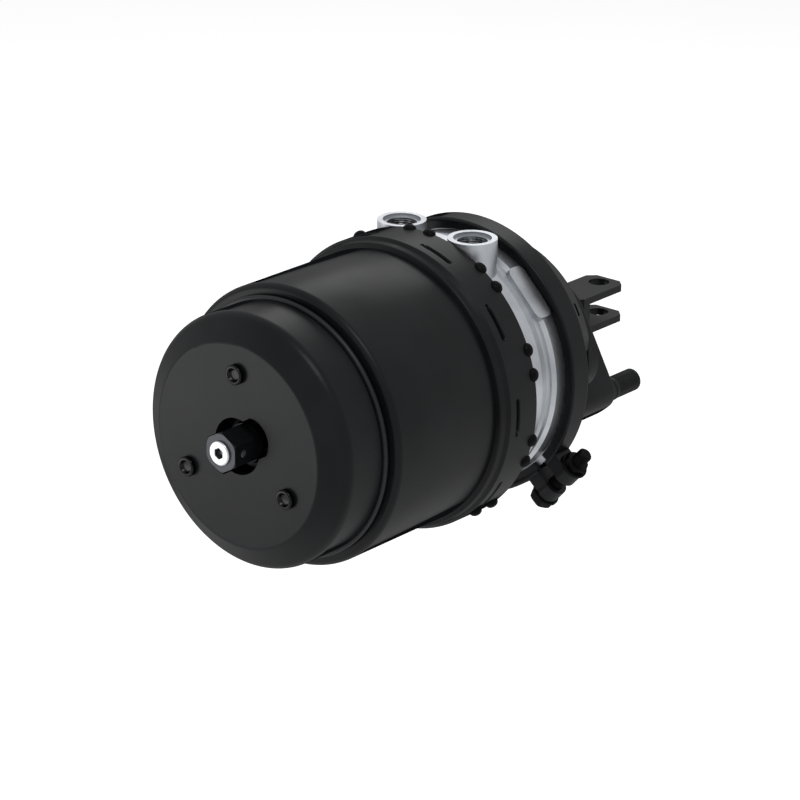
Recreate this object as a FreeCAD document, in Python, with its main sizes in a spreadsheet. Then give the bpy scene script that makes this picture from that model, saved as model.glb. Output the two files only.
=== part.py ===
"""Double spring brake chamber, piece by piece, in millimetres.

The origin is the centre of the mounting face. +X runs out along the push rod, +Z points to the
two air ports, and the chamber's body lies on the -X side.
"""
import FreeCAD, Part
import math
import os

import Sketcher

V = FreeCAD.Vector
X_AXIS = V(1, 0, 0)
Y_AXIS = V(0, 1, 0)
Z_AXIS = V(0, 0, 1)

doc = FreeCAD.newDocument("BrakeChamber")

# Driving sizes: lengths in millimetres, angles in degrees about +X, from +Y towards +Z
SIZES = {
    # service housing and its mounting pad
    "seal_depth": 92.7,
    "pad_height": 54.0,
    "pad_reach": 72.6,
    "pad_crown_radius": 29.2,
    "pad_lean": 28.9,
    "pad_corner_round": 13.0,
    "pad_edge_round": 2.2,
    "bowl_rim_radius": 73.0,
    "bowl_rim_round": 4.0,
    "bowl_neck_radius": 86.0,
    "bowl_neck_length": 5.0,
    "housing_wall": 2.8,
    "pad_wall": 4.0,
    "rod_opening_radius": 17.5,
    "drain_slot_width": 3.4,
    "drain_slot_inset": 8.5,
    # mounting studs
    "stud_circle_radius": 60.325,
    "stud_spread": 30.0,
    "stud_radius": 8.0,
    "stud_length": 53.0,
    "stud_neck_radius": 8.4,
    "stud_neck_reach": 0.8,
    "stud_head_radius": 9.2,
    "stud_head_height": 7.0,
    "stud_end_chamfer": 1.6,
    # clamped joint
    "rim_radius": 90.8,
    "rim_thickness": 3.0,
    "rim_flank": 0.8,
    "diaphragm_thickness": 3.0,
    "diaphragm_cup": 34.0,
    "diaphragm_cup_radius": 66.0,
    "diaphragm_bead_inner": 73.0,
    "clamp_radius": 95.3,
    "clamp_wall": 2.5,
    "clamp_front": 9.8,
    "clamp_back": 6.7,
    "clamp_leg": 2.3,
    "clamp_leg_depth": 5.4,
    "clamp_seat_gap": 0.15,
    "clamp_angle": -138.6,
    "clamp_gap": 10.0,
    "clamp_corner_round": 1.6,
    "lug_length": 11.0,
    "lug_radius": 8.3,
    "lug_width": 15.0,
    "clamp_bolt_reach": 106.4,
    "clamp_bolt_radius": 5.0,
    "clamp_bolt_length": 48.0,
    "clamp_head_height": 6.0,
    "clamp_head_flats": 15.0,
    "clamp_collar_radius": 9.6,
    "clamp_collar_height": 2.2,
    "clamp_nut_height": 4.2,
    # intermediate flange
    "flange_collar_length": 53.3,
    "flange_neck_radius": 86.3,
    "flange_rib_radius": 85.6,
    "flange_groove_radius": 83.2,
    "flange_cavity_radius": 73.0,
    "flange_hub_radius": 33.0,
    "flange_web": 10.0,
    "flange_pilot": 4.0,
    "flange_pad_radius": 87.4,
    "flange_pad_length": 15.0,
    "flange_pad_inset": 3.5,
    "flange_pad_width": 39.0,
    "flange_pad_angle": 135.5,
    "flange_pad_round": 5.0,
    "bridge_height": 88.5,
    "bridge_length": 22.0,
    "oring_wire": 2.7,
    "oring_squeeze": 0.2,
    "oring_inset": 10.0,
    # air ports
    "port_back": 129.6,
    "port_half_pitch": 30.0,
    "port_top": 96.3,
    "port_boss_radius": 16.4,
    "port_thread_radius": 10.25,
    "port_thread_depth": 15.0,
    "port_recess_radius": 12.7,
    "port_recess_depth": 2.4,
    "port_passage_radius": 4.0,
    # spring housing
    "band_length": 26.8,
    "band_radius": 99.3,
    "step_length": 8.5,
    "step_round": 4.0,
    "barrel_length": 95.4,
    "barrel_radius": 93.2,
    "barrel_round": 6.5,
    "barrel_wall": 3.0,
    "barrel_lip_gap": 0.6,
    "lock_slot_count": 10.0,
    "lock_slot_width": 2.6,
    "lock_slot_arc": 13.6,
    "lock_slot_inset": 19.5,
    "lock_groove_depth": 4.5,
    "lug_bump_radius": 4.4,
    "lug_bump_sink": 1.4,
    "lug_bump_wall": 1.6,
    "lug_bump_length": 4.6,
    "lug_bump_spread": 4.8,
    # end cap
    "cap_length": 46.3,
    "cap_radius": 84.2,
    "cap_face_radius": 67.4,
    "cap_bevel": 10.5,
    "cap_face_round": 4.0,
    "cap_corner_round": 8.0,
    "cap_wall": 3.5,
    "cap_groove_depth": 2.0,
    "cap_groove_width": 5.8,
    "cap_flange": 5.0,
    "lock_ring_width": 3.8,
    "lock_ring_height": 4.4,
    "lock_ring_round": 1.2,
    "plug_circle_radius": 48.1,
    "plug_radius": 6.7,
    "plug_stem_radius": 4.6,
    "plug_height": 2.6,
    "plug_dish_radius": 4.5,
    "plug_dish_depth": 2.0,
    # release bolt
    "keyhole_radius": 18.7,
    "keyhole_lobe_radius": 15.0,
    "keyhole_lobe_reach": 13.3,
    "keyhole_lobe_angle": 149.0,
    "keyhole_lobe_width": 25.6,
    "guide_radius": 31.0,
    "guide_wall": 2.5,
    "guide_depth": 26.0,
    "guide_collar_radius": 17.0,
    "guide_collar_height": 14.0,
    "release_head_flats": 24.0,
    "release_head_length": 22.5,
    "release_head_reach": 15.0,
    "release_shank_radius": 8.0,
    "release_shank_length": 126.0,
    "release_foot_radius": 12.0,
    "release_foot_length": 10.0,
    "release_cross_hole": 2.6,
    "release_socket_depth": 13.0,
    "washer_radius": 13.0,
    "washer_thickness": 3.0,
    "cap_screw_radius": 8.0,
    "cap_screw_head": 1.9,
    "cap_screw_stem": 4.0,
    "cap_screw_length": 12.0,
    "cap_screw_socket": 2.9,
    # spring piston and its tube
    "piston_gap": 0.6,
    "piston_front": 6.0,
    "piston_skirt": 25.0,
    "piston_skirt_wall": 8.0,
    "piston_web_inset": 5.0,
    "piston_web": 9.0,
    "piston_hub_radius": 30.0,
    "piston_seal_width": 7.0,
    "piston_seal_depth": 4.5,
    "piston_guide_width": 6.0,
    "piston_guide_depth": 2.2,
    "piston_stroke": 57.0,
    "tube_radius": 20.0,
    "tube_wall": 6.0,
    "tube_catch_length": 8.0,
    "foot_radius": 28.0,
    "foot_thickness": 5.6,
    "hub_clearance": 1.2,
    "tube_seal_length": 8.0,
    "tube_bush_length": 14.0,
    "tube_ring_depth": 4.0,
    "power_spring_radius": 56.0,
    "power_spring_wire": 6.4,
    "power_spring_turns": 3.5,
    # push rod
    "push_plate_radius": 50.0,
    "push_plate_thickness": 4.0,
    "push_plate_rim": 5.0,
    "push_rod_radius": 8.0,
    "push_rod_reach": 24.0,
    "return_spring_radius": 22.5,
    "return_spring_wire": 2.2,
    "return_spring_turns": 7.0,
    "rod_boot_radius": 15.5,
    "rod_boot_length": 9.0,
    # clevis and its lock nut
    "clevis_start": 8.0,
    "clevis_hole_reach": 50.5,
    "clevis_tip": 61.5,
    "clevis_web": 12.0,
    "clevis_half_width": 15.5,
    "clevis_half_height": 13.5,
    "clevis_ear": 5.0,
    "clevis_corner": 5.5,
    "clevis_hole_radius": 7.3,
    "rod_nut_flats": 24.0,
    "rod_nut_height": 8.0,
    # clearances
    "running_gap": 0.06,
    "seat_gap": 0.3,
    "thread_gap": 0.1,
}

# Stations along X, each worked out from the sizes in order
PLACES = {
    "x_seal": "-seal_depth",
    "x_diaphragm_back": "x_seal + diaphragm_thickness / 2",
    "x_diaphragm_front": "x_seal - diaphragm_thickness / 2",
    "x_bowl_rim": "-pad_height",
    "x_pad_inside": "-pad_wall",
    "x_flange_rim": "x_diaphragm_front - rim_thickness",
    "x_neck": "x_flange_rim - rim_flank",
    "x_collar": "x_diaphragm_front - flange_collar_length",
    "x_band_back": "x_collar + 1",
    "x_band_front": "x_band_back - band_length",
    "x_step": "x_band_front - step_length",
    "x_barrel_front": "x_step - barrel_length",
    "x_lip_inside": "x_barrel_front + barrel_wall",
    "x_cap_flange": "x_lip_inside + seat_gap",
    "x_cap_back": "x_cap_flange + cap_flange",
    "x_cap_front": "x_barrel_front - cap_length",
    "x_cap_corner": "x_cap_front + cap_bevel",
    "x_cap_inside": "x_cap_front + cap_wall",
    "x_groove_back": "x_barrel_front - 0.2",
    "x_groove_front": "x_groove_back - cap_groove_width",
    "x_spigot": "x_band_front + 0.8",
    "x_flange_front": "x_spigot - flange_pilot",
    "x_web_back": "x_flange_front + flange_web",
    "x_lock_slot": "x_band_back - lock_slot_inset",
    "x_oring": "x_collar - oring_inset",
    "x_piston_front": "x_cap_back + piston_front",
    "x_piston_back": "x_piston_front + piston_skirt",
    "x_web_front": "x_piston_front + piston_web_inset",
    "x_cup": "x_diaphragm_front - diaphragm_cup",
    "x_foot_back": "x_cup - seat_gap",
    "x_foot_front": "x_foot_back - foot_thickness",
    "x_hub_back": "x_foot_front - hub_clearance",
    "x_plate_front": "x_cup + diaphragm_thickness + seat_gap",
    "x_plate_back": "x_plate_front + push_plate_thickness",
    "x_release_front": "x_cap_front - release_head_reach",
    "x_release_shank": "x_release_front + release_head_length",
    "x_release_foot": "x_release_shank + release_shank_length",
    "x_guide_floor": "x_cap_inside + guide_depth",
    "spigot_radius": "band_radius - barrel_wall - seat_gap",
    "bore_radius": "barrel_radius - barrel_wall",
    "piston_radius": "bore_radius - piston_gap",
    "tube_bore": "tube_radius - tube_wall",
    "nut_start": "clevis_start - rod_nut_height",
}

sheet = doc.addObject("Spreadsheet::Sheet", "Sizes")
for row, (alias, number) in enumerate(SIZES.items(), start=1):
    sheet.set("A%d" % row, alias)
    sheet.set("B%d" % row, str(number))
    sheet.setAlias("B%d" % row, alias)
doc.recompute()

places = doc.addObject("App::VarSet", "Places")
places.addProperty("App::PropertyFloat", "reading", "Places")


def bound(text):
    """Give the sheet's and the stations' names their full form in an expression."""
    words = []
    for word in text.replace("(", " ( ").replace(")", " ) ").split():
        sign = ""
        if word[0] == "-" and len(word) > 1 and word[1].isalpha():
            sign = "-"
            word = word[1:]
        if word in SIZES:
            word = "Sizes." + word
        elif word in PLACES:
            word = "Places." + word
        words.append(sign + word)
    full = " ".join(words)
    for turn in ("sin", "cos", "tan"):
        full = full.replace(turn + " (", turn + "(")
    return full


for place, text in PLACES.items():
    places.addProperty("App::PropertyFloat", place, "Places")
    places.setExpression(place, bound(text))
doc.recompute()


def size(name):
    """The present number of a size or a station."""
    if name in SIZES:
        return float(sheet.get(name))
    return float(getattr(places, name))


def number(text):
    """The present value of an expression in sizes and stations."""
    places.setExpression("reading", bound(text))
    doc.recompute()
    return float(places.reading)


def polar(radius, degrees):
    """Y and Z of a point at a radius and an angle about the X axis."""
    turn = math.radians(degrees)
    return radius * math.cos(turn), radius * math.sin(turn)


ALONG_X = FreeCAD.Rotation(Y_AXIS, 90)


def outline_sketch(body, outline, plane="XY_Plane"):
    """A closed outline of straight runs in a sketch, each corner held by two bound distances."""
    sketch = body.newObject("Sketcher::SketchObject", "Outline")
    for feature in body.Origin.OriginFeatures:
        if getattr(feature, "Role", "") == plane:
            sketch.AttachmentSupport = [(feature, "")]
    sketch.MapMode = "FlatFace"
    count = len(outline)
    for i in range(count):
        turn = 2 * math.pi * i / count
        onward = 2 * math.pi * (i + 1) / count
        start = V(100 * math.cos(turn), 100 * math.sin(turn), 0)
        end = V(100 * math.cos(onward), 100 * math.sin(onward), 0)
        sketch.addGeometry(Part.LineSegment(start, end), False)
    for i in range(count):
        sketch.addConstraint(Sketcher.Constraint("Coincident", i, 2, (i + 1) % count, 1))
    for i, (across, up) in enumerate(outline):
        for kind, letter, text, axis in (("DistanceX", "x", across, -2), ("DistanceY", "r", up, -1)):
            if text == "0":
                sketch.addConstraint(Sketcher.Constraint("PointOnObject", i, 1, axis))
                continue
            index = sketch.addConstraint(Sketcher.Constraint(kind, -1, 1, i, 1, 10.0))
            sketch.renameConstraint(index, "%s%d" % (letter, i))
            sketch.setExpression("Constraints.%s%d" % (letter, i), bound(text))
    return sketch


def turned(label, outline):
    """A piece turned about the X axis from its half outline of (x, radius) corners."""
    body = doc.addObject("PartDesign::Body", label)
    sketch = outline_sketch(body, outline)
    turn = body.newObject("PartDesign::Revolution", label + "_turn")
    turn.Profile = sketch
    turn.ReferenceAxis = (sketch, ["H_Axis"])
    turn.Angle = 360
    doc.recompute()
    return body


def padded(label, outline, depth):
    """A plate with its outline in the XY plane, equally thick to both sides of it."""
    body = doc.addObject("PartDesign::Body", label)
    sketch = outline_sketch(body, outline)
    pad = body.newObject("PartDesign::Pad", label + "_pad")
    pad.Profile = sketch
    pad.Midplane = True
    pad.setExpression("Length", bound(depth))
    doc.recompute()
    return body


def rounded(body, corners, radius):
    """Round the circular edges of a turned body that run through the given (x, radius) corners."""
    names = []
    for index, edge in enumerate(body.Shape.Edges, start=1):
        if not isinstance(edge.Curve, Part.Circle):
            continue
        centre = edge.Curve.Center
        for x, r in corners:
            if abs(centre.x - x) < 0.01 and abs(edge.Curve.Radius - r) < 0.01:
                names.append("Edge%d" % index)
    base = body.Tip
    fillet = body.newObject("PartDesign::Fillet", body.Name + "_round")
    fillet.Base = (base, sorted(set(names)))
    fillet.setExpression("Radius", bound(radius))
    body.Tip = fillet
    doc.recompute()
    return body


def rod(name, start, length, radius, y=0.0, z=0.0):
    """A round bar along X."""
    bar = doc.addObject("Part::Cylinder", name)
    bar.Placement = FreeCAD.Placement(V(0, y, z), ALONG_X)
    bar.setExpression("Placement.Base.x", bound(start))
    bar.setExpression("Height", bound(length))
    bar.setExpression("Radius", bound(radius))
    return bar


def hexagon(name, start, length, flats):
    """A hexagonal bar along X, sized across its flats."""
    prism = doc.addObject("Part::Prism", name)
    prism.Polygon = 6
    prism.Placement = FreeCAD.Placement(V(0, 0, 0), ALONG_X)
    prism.setExpression("Placement.Base.x", bound(start))
    prism.setExpression("Height", bound(length))
    prism.setExpression("Circumradius", bound(flats + " / 1.7320508"))
    return prism


def post(name, radius, low, high, x, y):
    """A round bar along Z between two heights."""
    bar = doc.addObject("Part::Cylinder", name)
    bar.setExpression("Placement.Base.x", bound(x))
    bar.setExpression("Placement.Base.y", bound(y))
    bar.setExpression("Placement.Base.z", bound(low))
    bar.setExpression("Height", bound("( " + high + " ) - ( " + low + " )"))
    bar.setExpression("Radius", bound(radius))
    return bar


def joined(label, pieces):
    fuse = doc.addObject("Part::MultiFuse", label)
    fuse.Shapes = pieces
    fuse.Refine = True
    return fuse


def cut(label, base, tool):
    result = doc.addObject("Part::Cut", label)
    result.Base = base
    result.Tool = tool
    result.Refine = True
    return result


def grouped(label, pieces):
    group = doc.addObject("Part::Compound", label)
    group.Links = pieces
    return group


def coil(label, radius, wire, start, length, turns):
    """A round wire spring along X: half turns of a tilted ring, each one running on into the next."""
    doc.recompute()
    halves = int(round(2 * size(turns)))
    ring_x = number(start) + size(wire)
    step = (number(length) - 2 * size(wire)) / halves
    reach = math.hypot(size(radius), step / 2)
    pieces = []
    for i in range(halves):
        y, z = polar(1, 180 * i)
        outward = V(-step / 2, y * size(radius), z * size(radius)) / reach
        onward = V(0, -z, y)
        normal = outward.cross(onward)
        half = doc.addObject("Part::Torus", "%s_%d" % (label, i))
        half.Radius1 = reach
        half.setExpression("Radius2", bound(wire))
        half.Angle3 = 180
        half.Placement = FreeCAD.Placement(FreeCAD.Matrix(
            outward.x, onward.x, normal.x, ring_x + (i + 0.5) * step,
            outward.y, onward.y, normal.y, 0,
            outward.z, onward.z, normal.z, 0,
            0, 0, 0, 1,
        ))
        pieces.append(half)
    return joined(label, pieces)


# Spring housing: a drawn barrel with a crimped band that grips the intermediate flange
def make_spring_housing():
    wall = " - barrel_wall"
    shell = turned("barrel", [
        ("x_barrel_front", "cap_radius + barrel_lip_gap"),
        ("x_barrel_front", "barrel_radius"),
        ("x_step", "barrel_radius"),
        ("x_band_front", "band_radius"),
        ("x_band_back", "band_radius"),
        ("x_band_back", "band_radius" + wall),
        ("x_band_front + 0.4 * barrel_wall", "band_radius" + wall),
        ("x_step + 0.4 * barrel_wall", "bore_radius"),
        ("x_lip_inside", "bore_radius"),
        ("x_lip_inside", "cap_radius + barrel_lip_gap"),
    ])
    rounded(shell, [(size("x_barrel_front"), size("barrel_radius"))], "barrel_round")
    rounded(shell, [
        (size("x_step"), size("barrel_radius")),
        (size("x_band_front"), size("band_radius")),
    ], "step_round")
    count = int(size("lock_slot_count"))
    pitch = 360.0 / count
    sectors = []
    bumps = []
    hollows = []
    for i in range(count):
        sector = doc.addObject("Part::Cylinder", "slot_%d" % i)
        first = pitch * i - size("lock_slot_arc") / 2
        sector.Placement = FreeCAD.Placement(V(0, 0, 0), FreeCAD.Rotation(X_AXIS, first + 90) * ALONG_X)
        sector.setExpression("Placement.Base.x", bound("x_lock_slot - lock_slot_width / 2"))
        sector.setExpression("Height", bound("lock_slot_width"))
        sector.setExpression("Radius", bound("band_radius + 5"))
        sector.setExpression("Angle", bound("lock_slot_arc"))
        sectors.append(sector)
        for side in (-1, 1):
            angle = pitch * (i + 0.5) + side * size("lug_bump_spread")
            y, z = polar(size("band_radius") - size("lug_bump_sink"), angle)
            tag = "%d_%s" % (i, "a" if side < 0 else "b")
            bumps.append(rod("bump_" + tag, "x_band_back - lug_bump_length", "lug_bump_length",
                             "lug_bump_radius", y, z))
            ball = doc.addObject("Part::Sphere", "bump_nose_" + tag)
            ball.setExpression("Radius", bound("lug_bump_radius"))
            ball.Placement.Base = V(0, y, z)
            ball.setExpression("Placement.Base.x", bound("x_band_back - lug_bump_length"))
            bumps.append(ball)
            hollows.append(rod("hollow_" + tag, "x_band_back - lug_bump_length / 2", "lug_bump_length",
                               "lug_bump_radius - lug_bump_wall", y, z))
    core = rod("slot_core", "x_lock_slot - lock_slot_width", "2 * lock_slot_width",
               "band_radius - 2 * barrel_wall")
    slots = cut("slots", joined("slot_sectors", sectors), core)
    inside = rod("bump_core", "x_band_front", "band_length + 5", "band_radius - barrel_wall")
    outer = cut("bump_shells", joined("bumps", bumps), joined("bump_insides", hollows + [inside]))
    return cut("spring_housing", joined("barrel_with_bumps", [shell, outer]), slots)


# End cap: a bevelled cup whose inner flange bears on the barrel's lip
def make_end_cap():
    cup = turned("cup", [
        ("x_cap_front", "0"),
        ("x_cap_front", "cap_face_radius"),
        ("x_cap_corner", "cap_radius"),
        ("x_groove_front", "cap_radius"),
        ("x_groove_front", "cap_radius - cap_groove_depth"),
        ("x_groove_back", "cap_radius - cap_groove_depth"),
        ("x_groove_back", "cap_radius"),
        ("x_cap_flange", "cap_radius"),
        ("x_cap_flange", "bore_radius - seat_gap"),
        ("x_cap_back", "bore_radius - seat_gap"),
        ("x_cap_back", "cap_radius - 1.6 * cap_wall"),
        ("x_cap_corner + 0.5 * cap_wall", "cap_radius - 1.6 * cap_wall"),
        ("x_cap_inside", "cap_face_radius - 0.8 * cap_wall"),
        ("x_cap_inside", "0"),
    ])
    rounded(cup, [(size("x_cap_front"), size("cap_face_radius"))], "cap_face_round")
    rounded(cup, [(size("x_cap_corner"), size("cap_radius"))], "cap_corner_round")
    tools = [rod("keyhole", "x_cap_front - 2", "cap_wall + 6", "keyhole_radius")]
    # the keyhole's lobes are round ends within a straight bar across the hole
    ends = []
    for i in range(2):
        y, z = polar(size("keyhole_lobe_reach"), size("keyhole_lobe_angle") + 180 * i)
        ends.append(rod("keyhole_end_%d" % i, "x_cap_front - 2", "cap_wall + 6",
                        "keyhole_lobe_radius", y, z))
    bar = doc.addObject("Part::Box", "keyhole_bar")
    turn = FreeCAD.Rotation(X_AXIS, size("keyhole_lobe_angle"))
    corner = V(0, -40, -size("keyhole_lobe_width") / 2)
    bar.Placement = FreeCAD.Placement(turn.multVec(corner), turn)
    bar.setExpression("Placement.Base.x", bound("x_cap_front - 2"))
    bar.setExpression("Length", bound("cap_wall + 6"))
    bar.setExpression("Height", bound("keyhole_lobe_width"))
    bar.Width = 80
    lobes = doc.addObject("Part::Common", "keyhole_lobes")
    lobes.Base = bar
    lobes.Tool = joined("keyhole_ends", ends)
    tools.append(lobes)
    for i in range(3):
        y, z = polar(size("plug_circle_radius"), 90 + 120 * i)
        tools.append(rod("plug_hole_%d" % i, "x_cap_front - 2", "cap_wall + 6",
                         "plug_stem_radius + thread_gap", y, z))
    return cut("end_cap", cup, joined("cap_holes", tools))


def make_lock_ring():
    ring = turned("lock_ring", [
        ("x_groove_back - 1 - lock_ring_width", "cap_radius - cap_groove_depth + thread_gap"),
        ("x_groove_back - 1 - lock_ring_width", "cap_radius - cap_groove_depth + lock_ring_height"),
        ("x_groove_back - 1", "cap_radius - cap_groove_depth + lock_ring_height"),
        ("x_groove_back - 1", "cap_radius - cap_groove_depth + thread_gap"),
    ])
    top = size("cap_radius") - size("cap_groove_depth") + size("lock_ring_height")
    back = size("x_groove_back") - 1
    return rounded(ring, [(back, top), (back - size("lock_ring_width"), top)], "lock_ring_round")


# Three dished plugs close the cap's vent holes
def make_vent_plugs():
    plugs = []
    for i in range(3):
        y, z = polar(size("plug_circle_radius"), 90 + 120 * i)
        tag = "_%d" % i
        head = rod("plug_head" + tag, "x_cap_front - plug_height", "plug_height", "plug_radius", y, z)
        stem = rod("plug_stem" + tag, "x_cap_front", "cap_wall + 3", "plug_stem_radius", y, z)
        dish = rod("plug_dish" + tag, "x_cap_front - plug_height", "plug_dish_depth",
                   "plug_dish_radius", y, z)
        plugs.append(cut("plug" + tag, joined("plug_body" + tag, [head, stem]), dish))
    return grouped("vent_plugs", plugs)


# The sunken guide behind the keyhole carries the release bolt
def make_release_guide():
    return turned("release_guide", [
        ("x_cap_inside + 0.05", "guide_radius - guide_wall"),
        ("x_cap_inside + 0.05", "guide_radius"),
        ("x_guide_floor", "guide_radius"),
        ("x_guide_floor", "release_shank_radius + 3 * thread_gap"),
        ("x_guide_floor - guide_wall", "release_shank_radius + 3 * thread_gap"),
        ("x_guide_floor - guide_wall", "guide_collar_radius - guide_wall"),
        ("x_guide_floor - guide_wall - guide_collar_height", "guide_collar_radius - guide_wall"),
        ("x_guide_floor - guide_wall - guide_collar_height", "guide_collar_radius"),
        ("x_guide_floor - guide_wall", "guide_collar_radius"),
        ("x_guide_floor - guide_wall", "guide_radius - guide_wall"),
    ])


def make_release_bolt():
    head = hexagon("release_head", "x_release_front", "release_head_length", "release_head_flats")
    shank = rod("release_shank", "x_release_shank - 1", "release_shank_length + 1",
                "release_shank_radius")
    foot = rod("release_foot", "x_release_foot", "release_foot_length", "release_foot_radius")
    socket = rod("release_socket", "x_release_front", "release_socket_depth",
                 "cap_screw_stem + thread_gap")
    cross = doc.addObject("Part::Cylinder", "release_cross")
    cross.Placement = FreeCAD.Placement(V(0, -30, 0), FreeCAD.Rotation(X_AXIS, -90))
    cross.setExpression("Placement.Base.x", bound("x_release_front + 0.37 * release_head_length"))
    cross.setExpression("Radius", bound("release_cross_hole"))
    cross.Height = 60
    chamfer = turned("release_chamfer", [
        ("x_release_front - 1", "release_head_flats / 2 - 0.8"),
        ("x_release_front - 1", "release_head_flats"),
        ("x_release_front + 0.4 * release_head_flats", "release_head_flats"),
    ])
    solid = joined("release_solid", [head, shank, foot])
    return cut("release_bolt", solid, joined("release_cuts", [socket, cross, chamfer]))


def make_cap_screw():
    head = rod("screw_head", "x_release_front - cap_screw_head", "cap_screw_head", "cap_screw_radius")
    stem = rod("screw_stem", "x_release_front", "cap_screw_length", "cap_screw_stem")
    socket = hexagon("screw_socket", "x_release_front - cap_screw_head", "cap_screw_length / 3",
                     "2 * cap_screw_socket")
    return cut("cap_screw", joined("screw_solid", [head, stem]), socket)


def make_release_washer():
    return turned("release_washer", [
        ("x_release_shank + 0.05", "release_shank_radius + thread_gap"),
        ("x_release_shank + 0.05", "washer_radius"),
        ("x_release_shank + washer_thickness", "washer_radius"),
        ("x_release_shank + washer_thickness", "release_shank_radius + thread_gap"),
    ])


# Spring piston: a skirted disc with a seal and a guide ring, carried by its tube
def make_spring_piston():
    seal_front = "x_piston_back - 3 - piston_seal_width"
    guide_front = "x_piston_front + 3"
    return turned("spring_piston", [
        ("x_piston_front", "piston_radius - piston_skirt_wall"),
        ("x_piston_front", "piston_radius"),
        (guide_front, "piston_radius"),
        (guide_front, "piston_radius - piston_guide_depth"),
        (guide_front + " + piston_guide_width", "piston_radius - piston_guide_depth"),
        (guide_front + " + piston_guide_width", "piston_radius"),
        (seal_front, "piston_radius"),
        (seal_front, "piston_radius - piston_seal_depth"),
        (seal_front + " + piston_seal_width", "piston_radius - piston_seal_depth"),
        (seal_front + " + piston_seal_width", "piston_radius"),
        ("x_piston_back", "piston_radius"),
        ("x_piston_back", "piston_radius - piston_skirt_wall"),
        ("x_web_front + piston_web", "piston_radius - piston_skirt_wall"),
        ("x_web_front + piston_web", "piston_hub_radius"),
        ("x_piston_back", "piston_hub_radius"),
        ("x_piston_back", "tube_radius + thread_gap"),
        ("x_web_front", "tube_radius + thread_gap"),
        ("x_web_front", "piston_radius - piston_skirt_wall"),
    ])


def make_ring(label, front, width, inner, outer):
    return turned(label, [
        (front, inner),
        (front, outer),
        (front + " + " + width, outer),
        (front + " + " + width, inner),
    ])


def make_piston_rings():
    seal = make_ring("piston_seal", "x_piston_back - 2.95 - piston_seal_width",
                     "piston_seal_width - 0.1", "piston_radius - piston_seal_depth + 0.05",
                     "bore_radius - running_gap")
    guide = make_ring("piston_guide", "x_piston_front + 3.05", "piston_guide_width - 0.1",
                      "piston_radius - piston_guide_depth + 0.05", "bore_radius - running_gap")
    return seal, guide


def make_piston_tube():
    return turned("piston_tube", [
        ("x_web_front", "release_shank_radius + 6 * thread_gap"),
        ("x_web_front", "tube_radius"),
        ("x_foot_front", "tube_radius"),
        ("x_foot_front", "tube_bore"),
        ("x_web_front + tube_catch_length", "tube_bore"),
        ("x_web_front + tube_catch_length", "release_shank_radius + 6 * thread_gap"),
    ])


def make_tube_foot():
    foot = turned("tube_foot", [
        ("x_foot_front - 12", "0"),
        ("x_foot_front - 12", "tube_bore - thread_gap"),
        ("x_foot_front", "tube_bore - thread_gap"),
        ("x_foot_front", "foot_radius"),
        ("x_foot_back", "foot_radius"),
        ("x_foot_back", "0"),
    ])
    return rounded(foot, [(size("x_foot_back"), size("foot_radius"))], "rim_flank")


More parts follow.
